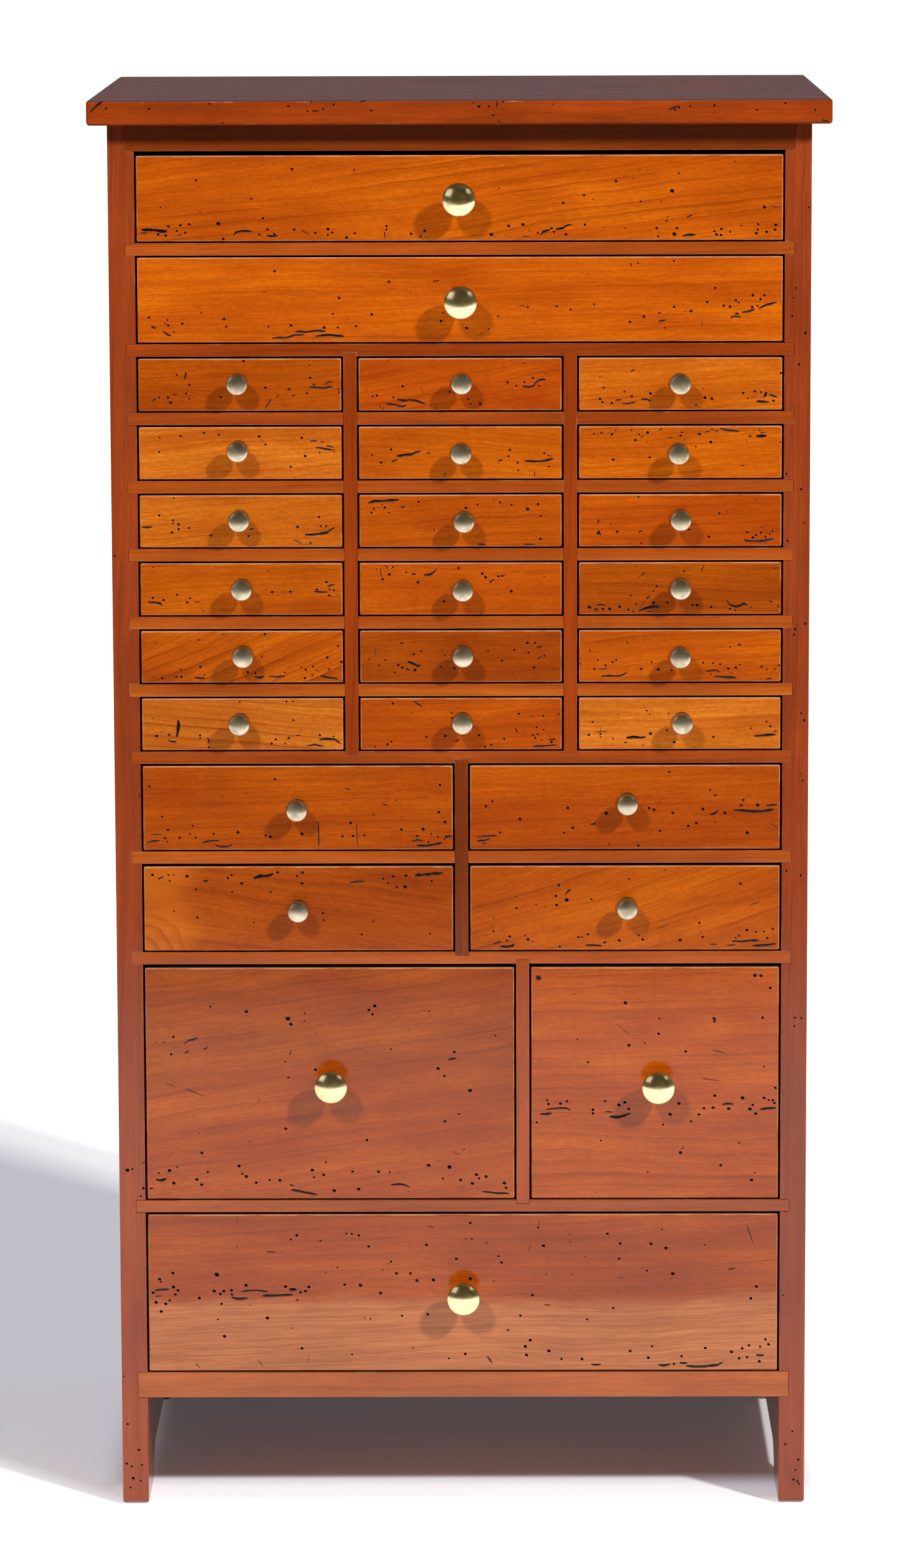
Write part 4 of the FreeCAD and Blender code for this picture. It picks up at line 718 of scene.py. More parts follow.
def small_outline():
    """Button knob: broad foot, coved waist, rounded rim and a shallow dome."""
    points = [(6.6, 0), (7, .35), (7, 1.8)]
    points += arc((7, 1.8), (7.6, 11.5), -4, 12)
    points += [(7.6, 14.5)]
    points += arc((7.6, 14.5), (5.5, 17.4), .75, 6)
    points += [(4.4, 17.68), (3.2, 17.93), (2, 18.1), (1, 18.17), (.05, 18.2)]
    return points


def large_outline():
    """Mushroom knob: a domed head swept in to a slim waist over a narrow foot."""
    points = [(7.4, 0), (7.8, .4), (7.8, 1.7), (7.4, 2.1), (5.6, 3.2), (4.6, 4),
              (4.4, 5.5), (4.4, 12)]
    points += arc((4.4, 12), (11.9, 20.4), 2.1, 9)
    points += [(11.9, 20.9), (11.75, 21.35), (11.4, 21.75)]
    rim, dome, top, rings = 11.9, 4.6, 26, 14
    size = (rim * rim + dome * dome) / (2 * dome)
    for k in range(1, rings + 1):
        across = 11.4 * (1 - k / rings) + .05
        points.append((across, top - size + math.sqrt(size * size - across * across)))
    return points


# ------------------------------------------------------------------ materials

def feed(tree, socket, value):
    """Gives a socket a link or a plain value."""
    if isinstance(value, bpy.types.NodeSocket):
        tree.links.new(value, socket)
    else:
        socket.default_value = value


def put(tree, kind, fill=None, **settings):
    """Adds a node, sets it, and fills its inputs with values or links."""
    made = tree.nodes.new(kind)
    for name, value in settings.items():
        setattr(made, name, value)
    for socket, value in (fill or {}).items():
        feed(tree, made.inputs[socket], value)
    return made


def calc(tree, operation, *terms, clamp=False):
    """One sum of arithmetic."""
    return put(tree, "ShaderNodeMath", dict(enumerate(terms)),
               operation=operation, use_clamp=clamp).outputs[0]


def between(tree, value, low, high, to_low=0.0, to_high=1.0):
    """Eases a value from one range to another."""
    return put(tree, "ShaderNodeMapRange", {
        "Value": value, "From Min": low, "From Max": high, "To Min": to_low,
        "To Max": to_high}, interpolation_type="SMOOTHSTEP").outputs["Result"]


def mix(tree, amount, low, high, how="MIX"):
    """Mixes two colours."""
    made = put(tree, "ShaderNodeMix", data_type="RGBA", blend_type=how)
    for name, value in (("Factor_Float", amount), ("A_Color", low), ("B_Color", high)):
        socket = next(s for s in made.inputs if s.identifier == name)
        plain_colour = socket.type == "RGBA" and not isinstance(value, bpy.types.NodeSocket)
        feed(tree, socket, (*value, 1) if plain_colour else value)
    return next(s for s in made.outputs if s.identifier == "Result_Color")


def overlay(tree, ground, mask, amount, colour):
    """Lays this much of a colour on the ground where the mask is."""
    return mix(tree, calc(tree, "MULTIPLY", mask, amount), ground, colour)


def cloud(tree, place, scale, detail=2.0, rough=.5):
    """Soft noise, 0 to 1."""
    return put(tree, "ShaderNodeTexNoise", {
        "Vector": place, "Scale": scale, "Detail": detail, "Roughness": rough}).outputs["Fac"]


def stretch(tree, place, factors):
    """Scales a place along, across and into the wood."""
    return put(tree, "ShaderNodeVectorMath", {0: place, 1: factors},
               operation="MULTIPLY").outputs["Vector"]


def object_place(tree):
    """A point's place on the cabinet, in metres."""
    return put(tree, "ShaderNodeTexCoord").outputs["Object"]


def split(tree, place):
    """X, Y and Z of a place."""
    return put(tree, "ShaderNodeSeparateXYZ", {0: place}).outputs


def split_colour(tree, colour):
    """The three numbers that a colour carries."""
    return put(tree, "ShaderNodeSeparateColor", {0: colour}).outputs


def painted(tree, name):
    """What note() or tint() wrote on the piece."""
    return put(tree, "ShaderNodeAttribute", attribute_name=name).outputs


def seen_directly(tree):
    """1 for what the camera, a mirror or glass sees, 0 for light on its way."""
    ray = put(tree, "ShaderNodeLightPath").outputs
    return calc(tree, "MAXIMUM", ray["Is Camera Ray"],
                calc(tree, "MAXIMUM", ray["Is Glossy Ray"], ray["Is Transmission Ray"]))


def new_group(name, inputs, outputs):
    """An empty node group with its sockets, and the group's own ends."""
    tree = bpy.data.node_groups.new(name, "ShaderNodeTree")
    for label, kind in inputs:
        tree.interface.new_socket(label, in_out="INPUT", socket_type=f"NodeSocket{kind}")
    for label, kind in outputs:
        tree.interface.new_socket(label, in_out="OUTPUT", socket_type=f"NodeSocket{kind}")
    return tree, put(tree, "NodeGroupInput").outputs, put(tree, "NodeGroupOutput").inputs


def use_group(tree, name, fill):
    """Places one of the shared groups with a material's own values."""
    return put(tree, "ShaderNodeGroup", fill, node_tree=GROUPS[name]).outputs


def make_grain_group():
    """Wood figure.  Place runs along, across and into the board."""
    tree, given, result = new_group(
        "wood_figure",
        [("Place", "Vector"), ("Seed", "Float"), ("Slope", "Float"), ("Spacing", "Float"),
         ("Wander", "Float")],
        [("Lines", "Float"), ("Streaks", "Float"), ("Clouds", "Float"), ("Pores", "Float"),
         ("Bands", "Float"), ("Flecks", "Float")])
    along, across, depth = split(tree, given["Place"])
    shift = calc(tree, "MULTIPLY", given["Seed"], 7.31)
    shifted = put(tree, "ShaderNodeCombineXYZ", {
        0: calc(tree, "ADD", along, shift), 1: across, 2: depth}).outputs[0]
    # growth lines: the board's height, tilted and pushed about by slow waves
    wave = cloud(tree, stretch(tree, shifted, (6, 16, 16)), 1, 2, .45)
    ripple = cloud(tree, stretch(tree, shifted, (38, 70, 70)), 1, 1, .5)
    push = calc(tree, "ADD",
                calc(tree, "MULTIPLY", calc(tree, "SUBTRACT", wave, .5), given["Wander"]),
                calc(tree, "MULTIPLY", calc(tree, "SUBTRACT", ripple, .5), .0022))
    height = calc(tree, "SUBTRACT", across, calc(tree, "MULTIPLY", along, given["Slope"]))
    height = calc(tree, "ADD", calc(tree, "ADD", height, push),
                  calc(tree, "MULTIPLY", depth, .35))
    turns = calc(tree, "DIVIDE", height, given["Spacing"])
    uneven = cloud(tree, put(tree, "ShaderNodeCombineXYZ", {
        0: given["Seed"], 1: calc(tree, "MULTIPLY", turns, .55)}).outputs[0], 1, 2, .6)
    turns = calc(tree, "ADD", turns, calc(tree, "MULTIPLY", uneven, 2.2))
    ring = calc(tree, "FRACT", turns)
    # late wood darkens slowly and ends sharply
    rise = calc(tree, "ADD", calc(tree, "MULTIPLY", calc(tree, "POWER", ring, 14), .75),
                calc(tree, "MULTIPLY", calc(tree, "POWER", ring, 3), .3))
    fall = between(tree, ring, .955, 1, 1, 0)
    strength = between(tree, cloud(tree, stretch(tree, shifted, (7, 45, 45)), 1, 1, .5), .3, .6)
    tree.links.new(calc(tree, "MULTIPLY", calc(tree, "MULTIPLY", rise, fall), strength),
                   result["Lines"])
    # fibres follow the same tilt
    fibre = put(tree, "ShaderNodeCombineXYZ", {
        0: calc(tree, "ADD", along, shift), 1: height, 2: depth}).outputs[0]
    coarse = cloud(tree, stretch(tree, fibre, (11, 520, 300)), 1, 3, .7)
    fine = cloud(tree, stretch(tree, fibre, (60, 1700, 900)), 1, 2, .7)
    tree.links.new(between(tree, calc(tree, "ADD", calc(tree, "MULTIPLY", coarse, .6),
                                      calc(tree, "MULTIPLY", fine, .4)), .34, .66),
                   result["Streaks"])
    tree.links.new(cloud(tree, stretch(tree, shifted, (8, 26, 26)), 1, 4, .6),
                   result["Clouds"])
    tree.links.new(between(tree, cloud(tree, stretch(tree, shifted, (210, 520, 520)), 1, 3, .7),
                           .38, .62), result["Flecks"])
    tree.links.new(between(tree, cloud(tree, stretch(tree, fibre, (120, 1900, 1900)), 1, 1, .4),
                           .66, .76), result["Pores"])
    tree.links.new(cloud(tree, stretch(tree, fibre, (3.5, 55, 40)), 1, 2, .5), result["Bands"])
    return tree


def make_arris_group():
    """How much of a rounded edge is rubbed bare."""
    tree, given, result = new_group(
        "worn_arris", [("Place", "Vector"), ("Amount", "Float")], [("Bare", "Float")])
    normal = put(tree, "ShaderNodeNewGeometry").outputs["Normal"]
    size = put(tree, "ShaderNodeVectorMath", {0: normal}, operation="ABSOLUTE").outputs["Vector"]
    x, y, z = split(tree, size)
    flat = calc(tree, "MAXIMUM", calc(tree, "MAXIMUM", x, y), z)
    edge = between(tree, flat, .995, .95)
    patchy = cloud(tree, given["Place"], 55, 3, .6)
    rub = between(tree, calc(tree, "ADD", patchy, given["Amount"]), .45, .75)
    tree.links.new(calc(tree, "MULTIPLY", edge, rub), result["Bare"])
    return tree


def make_dust_group():
    """Dust and grime: lies on upward faces, with crumbs scattered there."""
    tree, given, result = new_group(
        "settled_dust", [("Place", "Vector"), ("Amount", "Float")],
        [("Dust", "Float"), ("Crumbs", "Float")])
    normal = put(tree, "ShaderNodeNewGeometry").outputs["Normal"]
    up = split(tree, normal)["Z"]
    speck = cloud(tree, given["Place"], 240, 4, .7)
    drift = cloud(tree, given["Place"], 9, 3, .6)
    heap = calc(tree, "ADD", speck, calc(tree, "MULTIPLY", drift, .8))
    lie = calc(tree, "MULTIPLY", between(tree, up, .3, .9), between(tree, heap, .45, .95))
    tree.links.new(calc(tree, "MULTIPLY", lie, given["Amount"], clamp=True), result["Dust"])
    crumb = put(tree, "ShaderNodeTexVoronoi", {"Vector": given["Place"], "Scale": 30.0,
                                               "Randomness": 1.0})
    seldom = split_colour(tree, crumb.outputs["Color"])[0]
    lump = calc(tree, "MULTIPLY", between(tree, crumb.outputs["Distance"], .045, .025),
                between(tree, seldom, .7, .72))
    tree.links.new(calc(tree, "MULTIPLY", lump, between(tree, up, .8, .95)), result["Crumbs"])
    return tree


def start_material(name):
    """A material with only its shader."""
    made = bpy.data.materials.new(name)
    made.use_nodes = True
    tree = made.node_tree
    tree.nodes.clear()
    shader = put(tree, "ShaderNodeBsdfPrincipled")
    end = put(tree, "ShaderNodeOutputMaterial")
    tree.links.new(shader.outputs[0], end.inputs["Surface"])
    return made, tree, shader.inputs


def wood_place(tree, order):
    """Object place as (along, across, into) for a board whose grain runs this way."""
    place = object_place(tree)
    axes = split(tree, place)
    return place, axes, put(tree, "ShaderNodeCombineXYZ", {
        k: axes[axis] for k, axis in enumerate(order)}).outputs[0]


def bump(tree, height, strength, distance):
    """Fine relief of a finish."""
    return put(tree, "ShaderNodeBump", {
        "Height": height, "Strength": strength, "Distance": distance}).outputs["Normal"]


KNOT = (-.236, 0, .407)     # middle of the curl on the curled drawer


def make_drawer_wood(name, deep=False, curled=False):
    """Amber varnished fruitwood, its figure along the drawer."""
    made, tree, shader = start_material(name)
    place, axes, board = wood_place(tree, ("X", "Z", "Y"))
    lightness, redness, fall = split_colour(tree, painted(tree, "tone")["Color"])
    figure = painted(tree, "figure")
    seed, slope, spacing = split_colour(tree, figure["Color"])
    wood = use_group(tree, "figure", {
        "Place": board, "Seed": seed, "Slope": slope, "Spacing": spacing, "Wander": .018})
    amber, red = (.68, .160, .0025), (.60, .076, .002)
    drift = calc(tree, "SUBTRACT", wood["Clouds"], .5)
    deeper = calc(tree, "ADD", redness, calc(tree, "MULTIPLY", drift, 1.6), clamp=True)
    paler = calc(tree, "MULTIPLY", calc(
        tree, "ADD", redness, calc(tree, "MULTIPLY", drift, .6)), -2.6, clamp=True)
    ground = mix(tree, deeper, mix(tree, paler, amber, (.70, .235, .022)), red)
    banded = between(tree, wood["Bands"], .34, .66, 0, .42)
    ground = mix(tree, banded, ground, (.40, .050, .001))
    ground = overlay(tree, ground, wood["Streaks"], .42, (.34, .042, .001))
    ground = overlay(tree, ground, wood["Flecks"], .26, (.30, .036, .001))
    lines = calc(tree, "MULTIPLY", wood["Lines"], figure["Alpha"], clamp=True)
    ground = mix(tree, lines, ground, (.25, .028, .001))
    ground = overlay(tree, ground, wood["Pores"], .35, (.16, .02, .001))
    # scattered fly specks
    fly = put(tree, "ShaderNodeTexVoronoi", {"Vector": stretch(tree, board, (60, 95, 60)),
                                             "Scale": 1.0}).outputs
    spot = calc(tree, "MULTIPLY", between(tree, fly["Distance"], .075, .04),
                between(tree, split_colour(tree, fly["Color"])[0], .55, .6))
    ground = overlay(tree, ground, spot, .75, (.11, .018, .003))
    if curled:
        # rings and a pale glow about a knot just off the drawer's left end
        knot = put(tree, "ShaderNodeVectorMath", {
            0: put(tree, "ShaderNodeCombineXYZ", {0: axes["X"], 2: axes["Z"]}).outputs[0],
            1: KNOT}, operation="DISTANCE").outputs["Value"]
        knot = calc(tree, "ADD", knot, calc(tree, "MULTIPLY", wood["Clouds"], .014))
        rings = calc(tree, "POWER", calc(tree, "FRACT", calc(tree, "DIVIDE", knot, .0085)), 3)
        rings = calc(tree, "MULTIPLY", rings, between(tree, knot, .052, .036))
        glow = between(tree, calc(tree, "ADD", axes["X"],
                                  calc(tree, "MULTIPLY", wood["Clouds"], .05)), -.16, -.19)
        ground = overlay(tree, ground, glow, .6, (.85, .20, .012))
        ground = overlay(tree, ground, rings, .55, (.24, .03, .002))
    if deep:
        # a pale band of sapwood along the drawer's foot
        wave = cloud(tree, stretch(tree, place, (7, 0, 0)), 1, 2, .5)
        level = calc(tree, "ADD", calc(tree, "MULTIPLY_ADD", wave, -.032, axes["Z"]),
                     calc(tree, "MULTIPLY", wood["Clouds"], .014))
        below = between(tree, level, .151, .139)
        ground = overlay(tree, ground, below, .7,
                         mix(tree, wood["Streaks"], (.86, .32, .12), (.62, .18, .05)))
    mottle = calc(tree, "MULTIPLY", between(tree, wood["Clouds"], .3, .7, 1.15, .9),
                  between(tree, wood["Streaks"], 0, 1, 1.05, .97))
    # "fall" is how much lighter the drawer's foot is than its head
    foot = calc(tree, "MULTIPLY", fall, between(tree, axes["Z"], .36, .27, -.5, .5))
    light = put(tree, "ShaderNodeVectorMath", {
        0: ground, "Scale": calc(tree, "MULTIPLY", calc(tree, "ADD", lightness, foot), mottle)},
        operation="SCALE").outputs[0]
    bare = use_group(tree, "arris", {"Place": place, "Amount": .12})["Bare"]
    colour = overlay(tree, light, bare, .6, (.56, .28, .12))
    dust = use_group(tree, "dust", {"Place": place, "Amount": .5})["Dust"]
    colour = mix(tree, dust, colour, (.35, .27, .2))
    tree.links.new(colour, shader["Base Color"])
    rough = between(tree, wood["Clouds"], .3, .7, .46, .58)
    tree.links.new(calc(tree, "ADD", rough, calc(tree, "MULTIPLY", bare, .2)),
                   shader["Roughness"])
    shader["Specular IOR Level"].default_value = .06
    shader["Coat Roughness"].default_value = .13
    tree.links.new(calc(tree, "SUBTRACT", .8, calc(tree, "MULTIPLY", bare, .7), clamp=True),
                   shader["Coat Weight"])
    relief = calc(tree, "ADD", calc(tree, "MULTIPLY", wood["Streaks"], -.5),
                  calc(tree, "ADD", calc(tree, "MULTIPLY", wood["Lines"], .5),
                       calc(tree, "MULTIPLY", wood["Pores"], -.8)))
    tree.links.new(bump(tree, relief, .35, .00022), shader["Normal"])
    return made


def make_case_wood(name, order, light, dark, seed, bare_amount=-.02, dusty=.5, varnish=.85):
    """Red-brown case wood.  The order of axes gives the way its grain runs."""
    made, tree, shader = start_material(name)
    place, axes, board = wood_place(tree, order)
    wood = use_group(tree, "figure", {
        "Place": board, "Seed": seed, "Slope": .015, "Spacing": .011, "Wander": .012})
    ground = mix(tree, between(tree, wood["Clouds"], .3, .7), light, dark)
    ground = mix(tree, between(tree, wood["Bands"], .35, .7, 0, .4), ground,
                 [value * .65 for value in dark])
    ground = overlay(tree, ground, wood["Streaks"], .4, [value * .5 for value in dark])
    ground = overlay(tree, ground, wood["Lines"], .55, [value * .3 for value in dark])
    ground = overlay(tree, ground, wood["Pores"], .35, (.05, .012, .006))
    # the per-board colour factor from the case table, which carries painted shadow and painted
    # floor reflection on some boards
    ground = mix(tree, 1.0, ground, painted(tree, "shade")["Color"], "MULTIPLY")
    bare = use_group(tree, "arris", {"Place": place, "Amount": bare_amount})["Bare"]
    colour = overlay(tree, ground, bare, .7, (.52, .27, .14))
    dust = use_group(tree, "dust", {"Place": place, "Amount": dusty})
    colour = mix(tree, dust["Dust"], colour, (.078, .035, .038))
    colour = mix(tree, dust["Crumbs"], colour, (.42, .36, .33))
    tree.links.new(colour, shader["Base Color"])
    tree.links.new(calc(tree, "ADD", between(tree, wood["Clouds"], .3, .7, .45, .6),
                        calc(tree, "MULTIPLY", bare, .2)), shader["Roughness"])
    shader["Specular IOR Level"].default_value = .06
    shader["Coat Roughness"].default_value = .15
    tree.links.new(calc(tree, "SUBTRACT", varnish, calc(tree, "MULTIPLY", bare, .6), clamp=True),
                   shader["Coat Weight"])
    relief = calc(tree, "ADD", calc(tree, "MULTIPLY", wood["Streaks"], -.5),
                  calc(tree, "MULTIPLY", wood["Pores"], -.8))
    tree.links.new(bump(tree, relief, .4, .0003), shader["Normal"])
    return made


def make_box_board():
    """Pale unvarnished boards of the drawer boxes, darkened by handling on top."""
    made, tree, shader = start_material("box_board")
    place, axes, board = wood_place(tree, ("Y", "Z", "X"))
    wood = use_group(tree, "figure", {
        "Place": board, "Seed": 3.3, "Slope": .02, "Spacing": .009, "Wander": .01})
    ground = mix(tree, between(tree, wood["Clouds"], .3, .7), (.50, .30, .14), (.40, .21, .09))
    ground = overlay(tree, ground, wood["Streaks"], .35, (.26, .13, .05))
    ground = overlay(tree, ground, wood["Lines"], .5, (.20, .09, .03))
    bare = use_group(tree, "arris", {"Place": place, "Amount": .1})["Bare"]
    colour = overlay(tree, ground, bare, .5, (.6, .42, .24))
    dust = use_group(tree, "dust", {"Place": place, "Amount": .6})["Dust"]
    colour = mix(tree, dust, colour, (.33, .27, .2))
    tree.links.new(colour, shader["Base Color"])
    tree.links.new(between(tree, wood["Streaks"], 0, 1, .6, .75), shader["Roughness"])
    shader["Specular IOR Level"].default_value = .3
    tree.links.new(bump(tree, wood["Streaks"], .4, .0003), shader["Normal"])
    return made


def make_worm_hole():
    """Walls of a worm mark: dark wood at the rim and grey dust just inside, then near black
    further in, which is painted shade deep in the hole.
    """
    made, tree, shader = start_material("worm_hole")
    place = object_place(tree)
    depth = split(tree, place)["Y"]
    crumbs = cloud(tree, place, 1400, 3, .7)
    level = calc(tree, "ADD", depth, calc(tree, "MULTIPLY", crumbs, -.0006))
    inside = between(tree, level, (FACE - .35) * MM, (FACE + .2) * MM)
    colour = mix(tree, inside, (.040, .014, .009), (.050, .032, .032))
    # near black further in: painted shade deep in the hole
    colour = mix(tree, between(tree, level, (FACE + .5) * MM, (FACE + 1.3) * MM), colour,
                 (.010, .006, .008))
    colour = overlay(tree, colour, between(tree, crumbs, .55, .8), .25, (.07, .04, .035))
    tree.links.new(colour, shader["Base Color"])
    tree.links.new(between(tree, crumbs, .2, .8, .75, .95), shader["Roughness"])
    tree.links.new(bump(tree, crumbs, .6, .0003), shader["Normal"])
    return made


def make_brass(name, bright, dull, rough_low, rough_high, tarnish):
    """Turned brass with fine lathe rings, fingering and tarnish in the hollows."""
    made, tree, shader = start_material(name)
    place = object_place(tree)
    patch = cloud(tree, place, 140, 4, .6)
    speck = cloud(tree, place, 900, 3, .65)
    hollow = between(tree, split(tree, place)["Y"], (FACE - 11) * MM, (FACE - 4) * MM)
    age = calc(tree, "ADD", calc(tree, "MULTIPLY", between(tree, patch, .4, .75), tarnish),
               calc(tree, "MULTIPLY", hollow, .55), clamp=True)
    colour = mix(tree, age, bright, dull)
    pits = between(tree, speck, .64, .74)
    colour = overlay(tree, colour, pits, .5, [value * .35 for value in dull])
    tree.links.new(colour, shader["Base Color"])
    shader["Metallic"].default_value = 1
    tree.links.new(calc(tree, "ADD", between(tree, patch, .3, .75, rough_low, rough_high),
                        calc(tree, "MULTIPLY", age, .12)), shader["Roughness"])
    rings = cloud(tree, stretch(tree, place, (60, 5200, 60)), 1, 2, .5)
    wear = calc(tree, "ADD", calc(tree, "MULTIPLY", rings, .25),
                calc(tree, "MULTIPLY", pits, -.9))
    tree.links.new(bump(tree, wear, .12, .0001), shader["Normal"])
    return made


GROUPS = {"figure": make_grain_group(), "arris": make_arris_group(),
          "dust": make_dust_group()}
WOOD = {
    "worm_hole": make_worm_hole(),
    "drawer_face": make_drawer_wood("amber_drawer_wood"),
    "drawer_deep": make_drawer_wood("amber_drawer_wood_deep", deep=True),
    "drawer_curled": make_drawer_wood("amber_drawer_wood_curled", curled=True),
    "box_board": make_box_board(),
    "upright": make_case_wood("case_wood_upright", ("Z", "X", "Y"),
                              (.385, .061, .012), (.26, .038, .008), 1.7),
    "divider": make_case_wood("divider_wood", ("Z", "X", "Y"),
                              (.40, .056, .004), (.28, .036, .002), 5.1),
    "shelf": make_case_wood("shelf_wood", ("X", "Z", "Y"),
                            (.48, .088, .010), (.34, .055, .005), 8.3),
    "top": make_case_wood("top_wood", ("X", "Y", "Z"),
                          (.41, .060, .006), (.27, .037, .004), 2.9, bare_amount=-.12,
                          dusty=1.5, varnish=.04),
    "back": make_case_wood("back_wood", ("Z", "X", "Y"),
                           (.36, .13, .05), (.26, .08, .03), 6.4, varnish=.1),
}
BRASS = {
    "polished": make_brass("polished_brass", (.90, .73, .42), (.46, .34, .16), .17, .27, .35),
    "aged": make_brass("aged_brass", (.66, .57, .42), (.30, .23, .15), .30, .42, .6),
}


# ------------------------------------------------------------------ the case

# node: its wood, its slot, rounding of its rubbed arrises
CASE_BOARDS = {
    "top_board": ("top", "top_wood", .5),
    "left_side": ("upright", "case_wood", .7), "right_side": ("upright", "case_wood", .7),
    "shelves": ("shelf", "case_wood", .6), "dividers": ("divider", "case_wood", .6),
    "back_panel": ("back", "back_wood", .5),
}

# Worm marks in the edges of the case, from the middle of the cabinet's foot.
CASE_HOLES = {
    "left_side": "-246 61 .8, -238 41.5 .9, -247 31 .9, -243.5 29 .8, -236 30 .8,"
                 "-242.5 20 1.1, -250 12 .8, -244.5 13 .8, -237 18.3 .7, -248.5 97 .6,"
                 "-244 251.5 1.4, -240.5 252.3 .8, -232.5 238 1, -234.5 232 .8, -232 257 .7,"
                 "-233 498 .5, -232 528 .7, -248 702 .7",
    "right_side": "241.2 54.8 .8, 236 45 .8, 245.7 33.3 .9, 243.5 25.5 .8, 242.2 18.3 .9,"
                  "245 17 .8, 246.3 15 .8, 246.8 582 1, 244.5 587 .7, 246 538 .8, 244 543 .6,"
                  "244.8 468.5 .8, 234.5 472 .8, 241.3 363.8 .8, 246 363.5 .8, 241 357.6 .7,"
                  "237.5 886 .7, 239 893 .6, 236.5 873 .8, 246 861 1, 241.5 838.5 1,"
                  "248 950 .7, 233 760 .8, 246 725 .6, 243.5 749 .8, 234 712 .8,"
                  "247 652 .9, 239 644 .8, 240 648 .9, 234 157 .6",
}
TOP_MARKS = {
    "holes": "-249 1022.4 .9, -219 1022 .9, -176 1025.4 .8, -120.5 1023.5 .8, -104 1026.4 .7,"
             "-96 1021.5 .8, -107 1019.9 .7, -167 1012 .6, -88.5 1024.7 .9, -62 1020.4 .9,"
             "14 1023 1.2, 21 1023 .8, 10 1025.4 .6, 31 1026.2 .8, 24 1016.7 .8, 66 1024.4 .5,"
             "155 1022 1, 152 1020.4 .9, 163 1022.6 .7, 180 1023.4 .9, 230 1024.6 .9,"
             "210 1020 .8, 251 1019.8 .8",
    "tracks": "1.3: -260.5 1019.6 -256.5 1023.6 -251.6 1027; 1: -103.5 1020 -99 1020.2;"
              "1.1: 26.5 1022.5 26.9 1026.4; .9: 27 1013 29.5 1011.8; 1: 148 1020.4 154 1022.8;"
              "1.2: 256 1012.8 260.5 1011.8; .9: -70 1026.8 -65 1027",
}

# Colour factor of each shelf and divider: from this height, to this height, the factor. Most are
# the boards' own tone; the rows marked below are painted light.
TINTS_WITH_PAINTED_LIGHT = {"shelves": [
    # 0 to 110: the bottom board made lighter and bluer, a painted reflection of the bright floor
    #           in the varnish
    (0, 110, (1.18, 1.5, 2.2)), (210, 230, (.95, 1.0, 1.2)), (400, 415, (1.05, 1.1, 1)),
    (470, 490, (1.1, 1.2, 1)), (545, 556, (.82, .75, .6)), (595, 606, (1.25, 1.6, 1)),
    (645, 655, (1.15, 1.35, 1)), (693, 704, (1.15, 1.3, 1)), (742, 752, (1.08, 1.2, 1)),
    (790, 802, (.85, .8, .7)), (843, 856, (.85, .72, .6)), (915, 928, (1.05, 1.1, 1)),
    # 980 to 1020: the top rail made darker, a painted shadow under the top board's overhang
    (980, 1020, (.55, .5, .5)),
# 220 to 408: the lower divider made lighter and bluer, a painted reflection of the bright floor in
#             the varnish
], "dividers": [(220, 408, (1.2, 1.4, 1.5)), (410, 556, (.62, .68, .8))]}


def make_case_board(node, ease):
    """A fitted board of the case with rubbed arrises."""
    board = new_piece(f"worn_{node}")
    bpy.ops.object.mode_set(mode="OBJECT")
    board.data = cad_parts[node].data.copy()
    board.data.name = board.name
    board.data.materials.clear()
    bpy.ops.object.mode_set(mode="EDIT")
    bpy.ops.mesh.customdata_custom_splitnormals_clear()
    bpy.ops.mesh.select_all(action="SELECT")
    bpy.ops.mesh.remove_doubles(threshold=.00002)
    bpy.ops.mesh.dissolve_limited(angle_limit=math.radians(1))
    if node in ("left_side", "right_side"):
        choose("EDGE", lambda spots: all(spot.z < HIT for spot in spots))
        round_off(FOOT_WEAR, 3)
    close_piece()
    rub = board.modifiers.new("rubbed_arrises", "BEVEL")
    rub.width, rub.segments, rub.limit_method = ease * MM, 2, "ANGLE"
    rub.angle_limit = math.radians(35)
    bpy.ops.object.modifier_apply(modifier=rub.name)
    return board


def tint(board, tints):
    """Writes the colour factor of each shelf or divider, painted light included, on its own
    corners, and none elsewhere.
    """
    values = []
    for corner in board.data.vertices:
        found = [colour for low, high, colour in tints if low < corner.co.z / MM < high]
        values += [*(found[0] if found else (1, 1, 1)), 1]
    layer = board.data.attributes.new("shade", "FLOAT_COLOR", "POINT")
    layer.data.foreach_set("color", values)


SCREW, SINK = 3.5, 3.75     # radius of a screw head, and of the hole it is sunk in
SCREW_SLOT = (9, 2, .9)     # the tool that cuts the slot of a head
# The back panel's screws, across and up: down both sides and under the top board.
BACK_SCREWS = [(side * 235.5, 60 + step * 180) for side in (-1, 1) for step in range(6)]
BACK_SCREWS += [(across, 985) for across in (-150, 0, 150)]


def add_discs(name, radius, low, high):
    """A disc at each screw of the back panel, from one depth to another."""
    discs = new_piece(name)
    for across, up in BACK_SCREWS:
        add_cylinder(radius, low, high, across, up)
    close_piece()
    return discs


def make_back_screws():
    """Sunk screw heads, each slot turned its own way."""
    screws = add_discs("back_panel_screws", SCREW, BACK - 2.5, BACK - .15)
    slots = new_piece("screw_slots")
    for count, (across, up) in enumerate(BACK_SCREWS):
        bpy.ops.mesh.select_all(action="DESELECT")
        bpy.ops.mesh.primitive_cube_add(
            size=1, rotation=(0, math.radians(count * 37), 0),
            location=(across * MM, BACK * MM, up * MM),
            scale=[side * MM for side in SCREW_SLOT])
    close_piece()
    screws.data.materials.append(BRASS["aged"])
    eat_into(screws, slots)
    smooth_over(screws)
    return screws


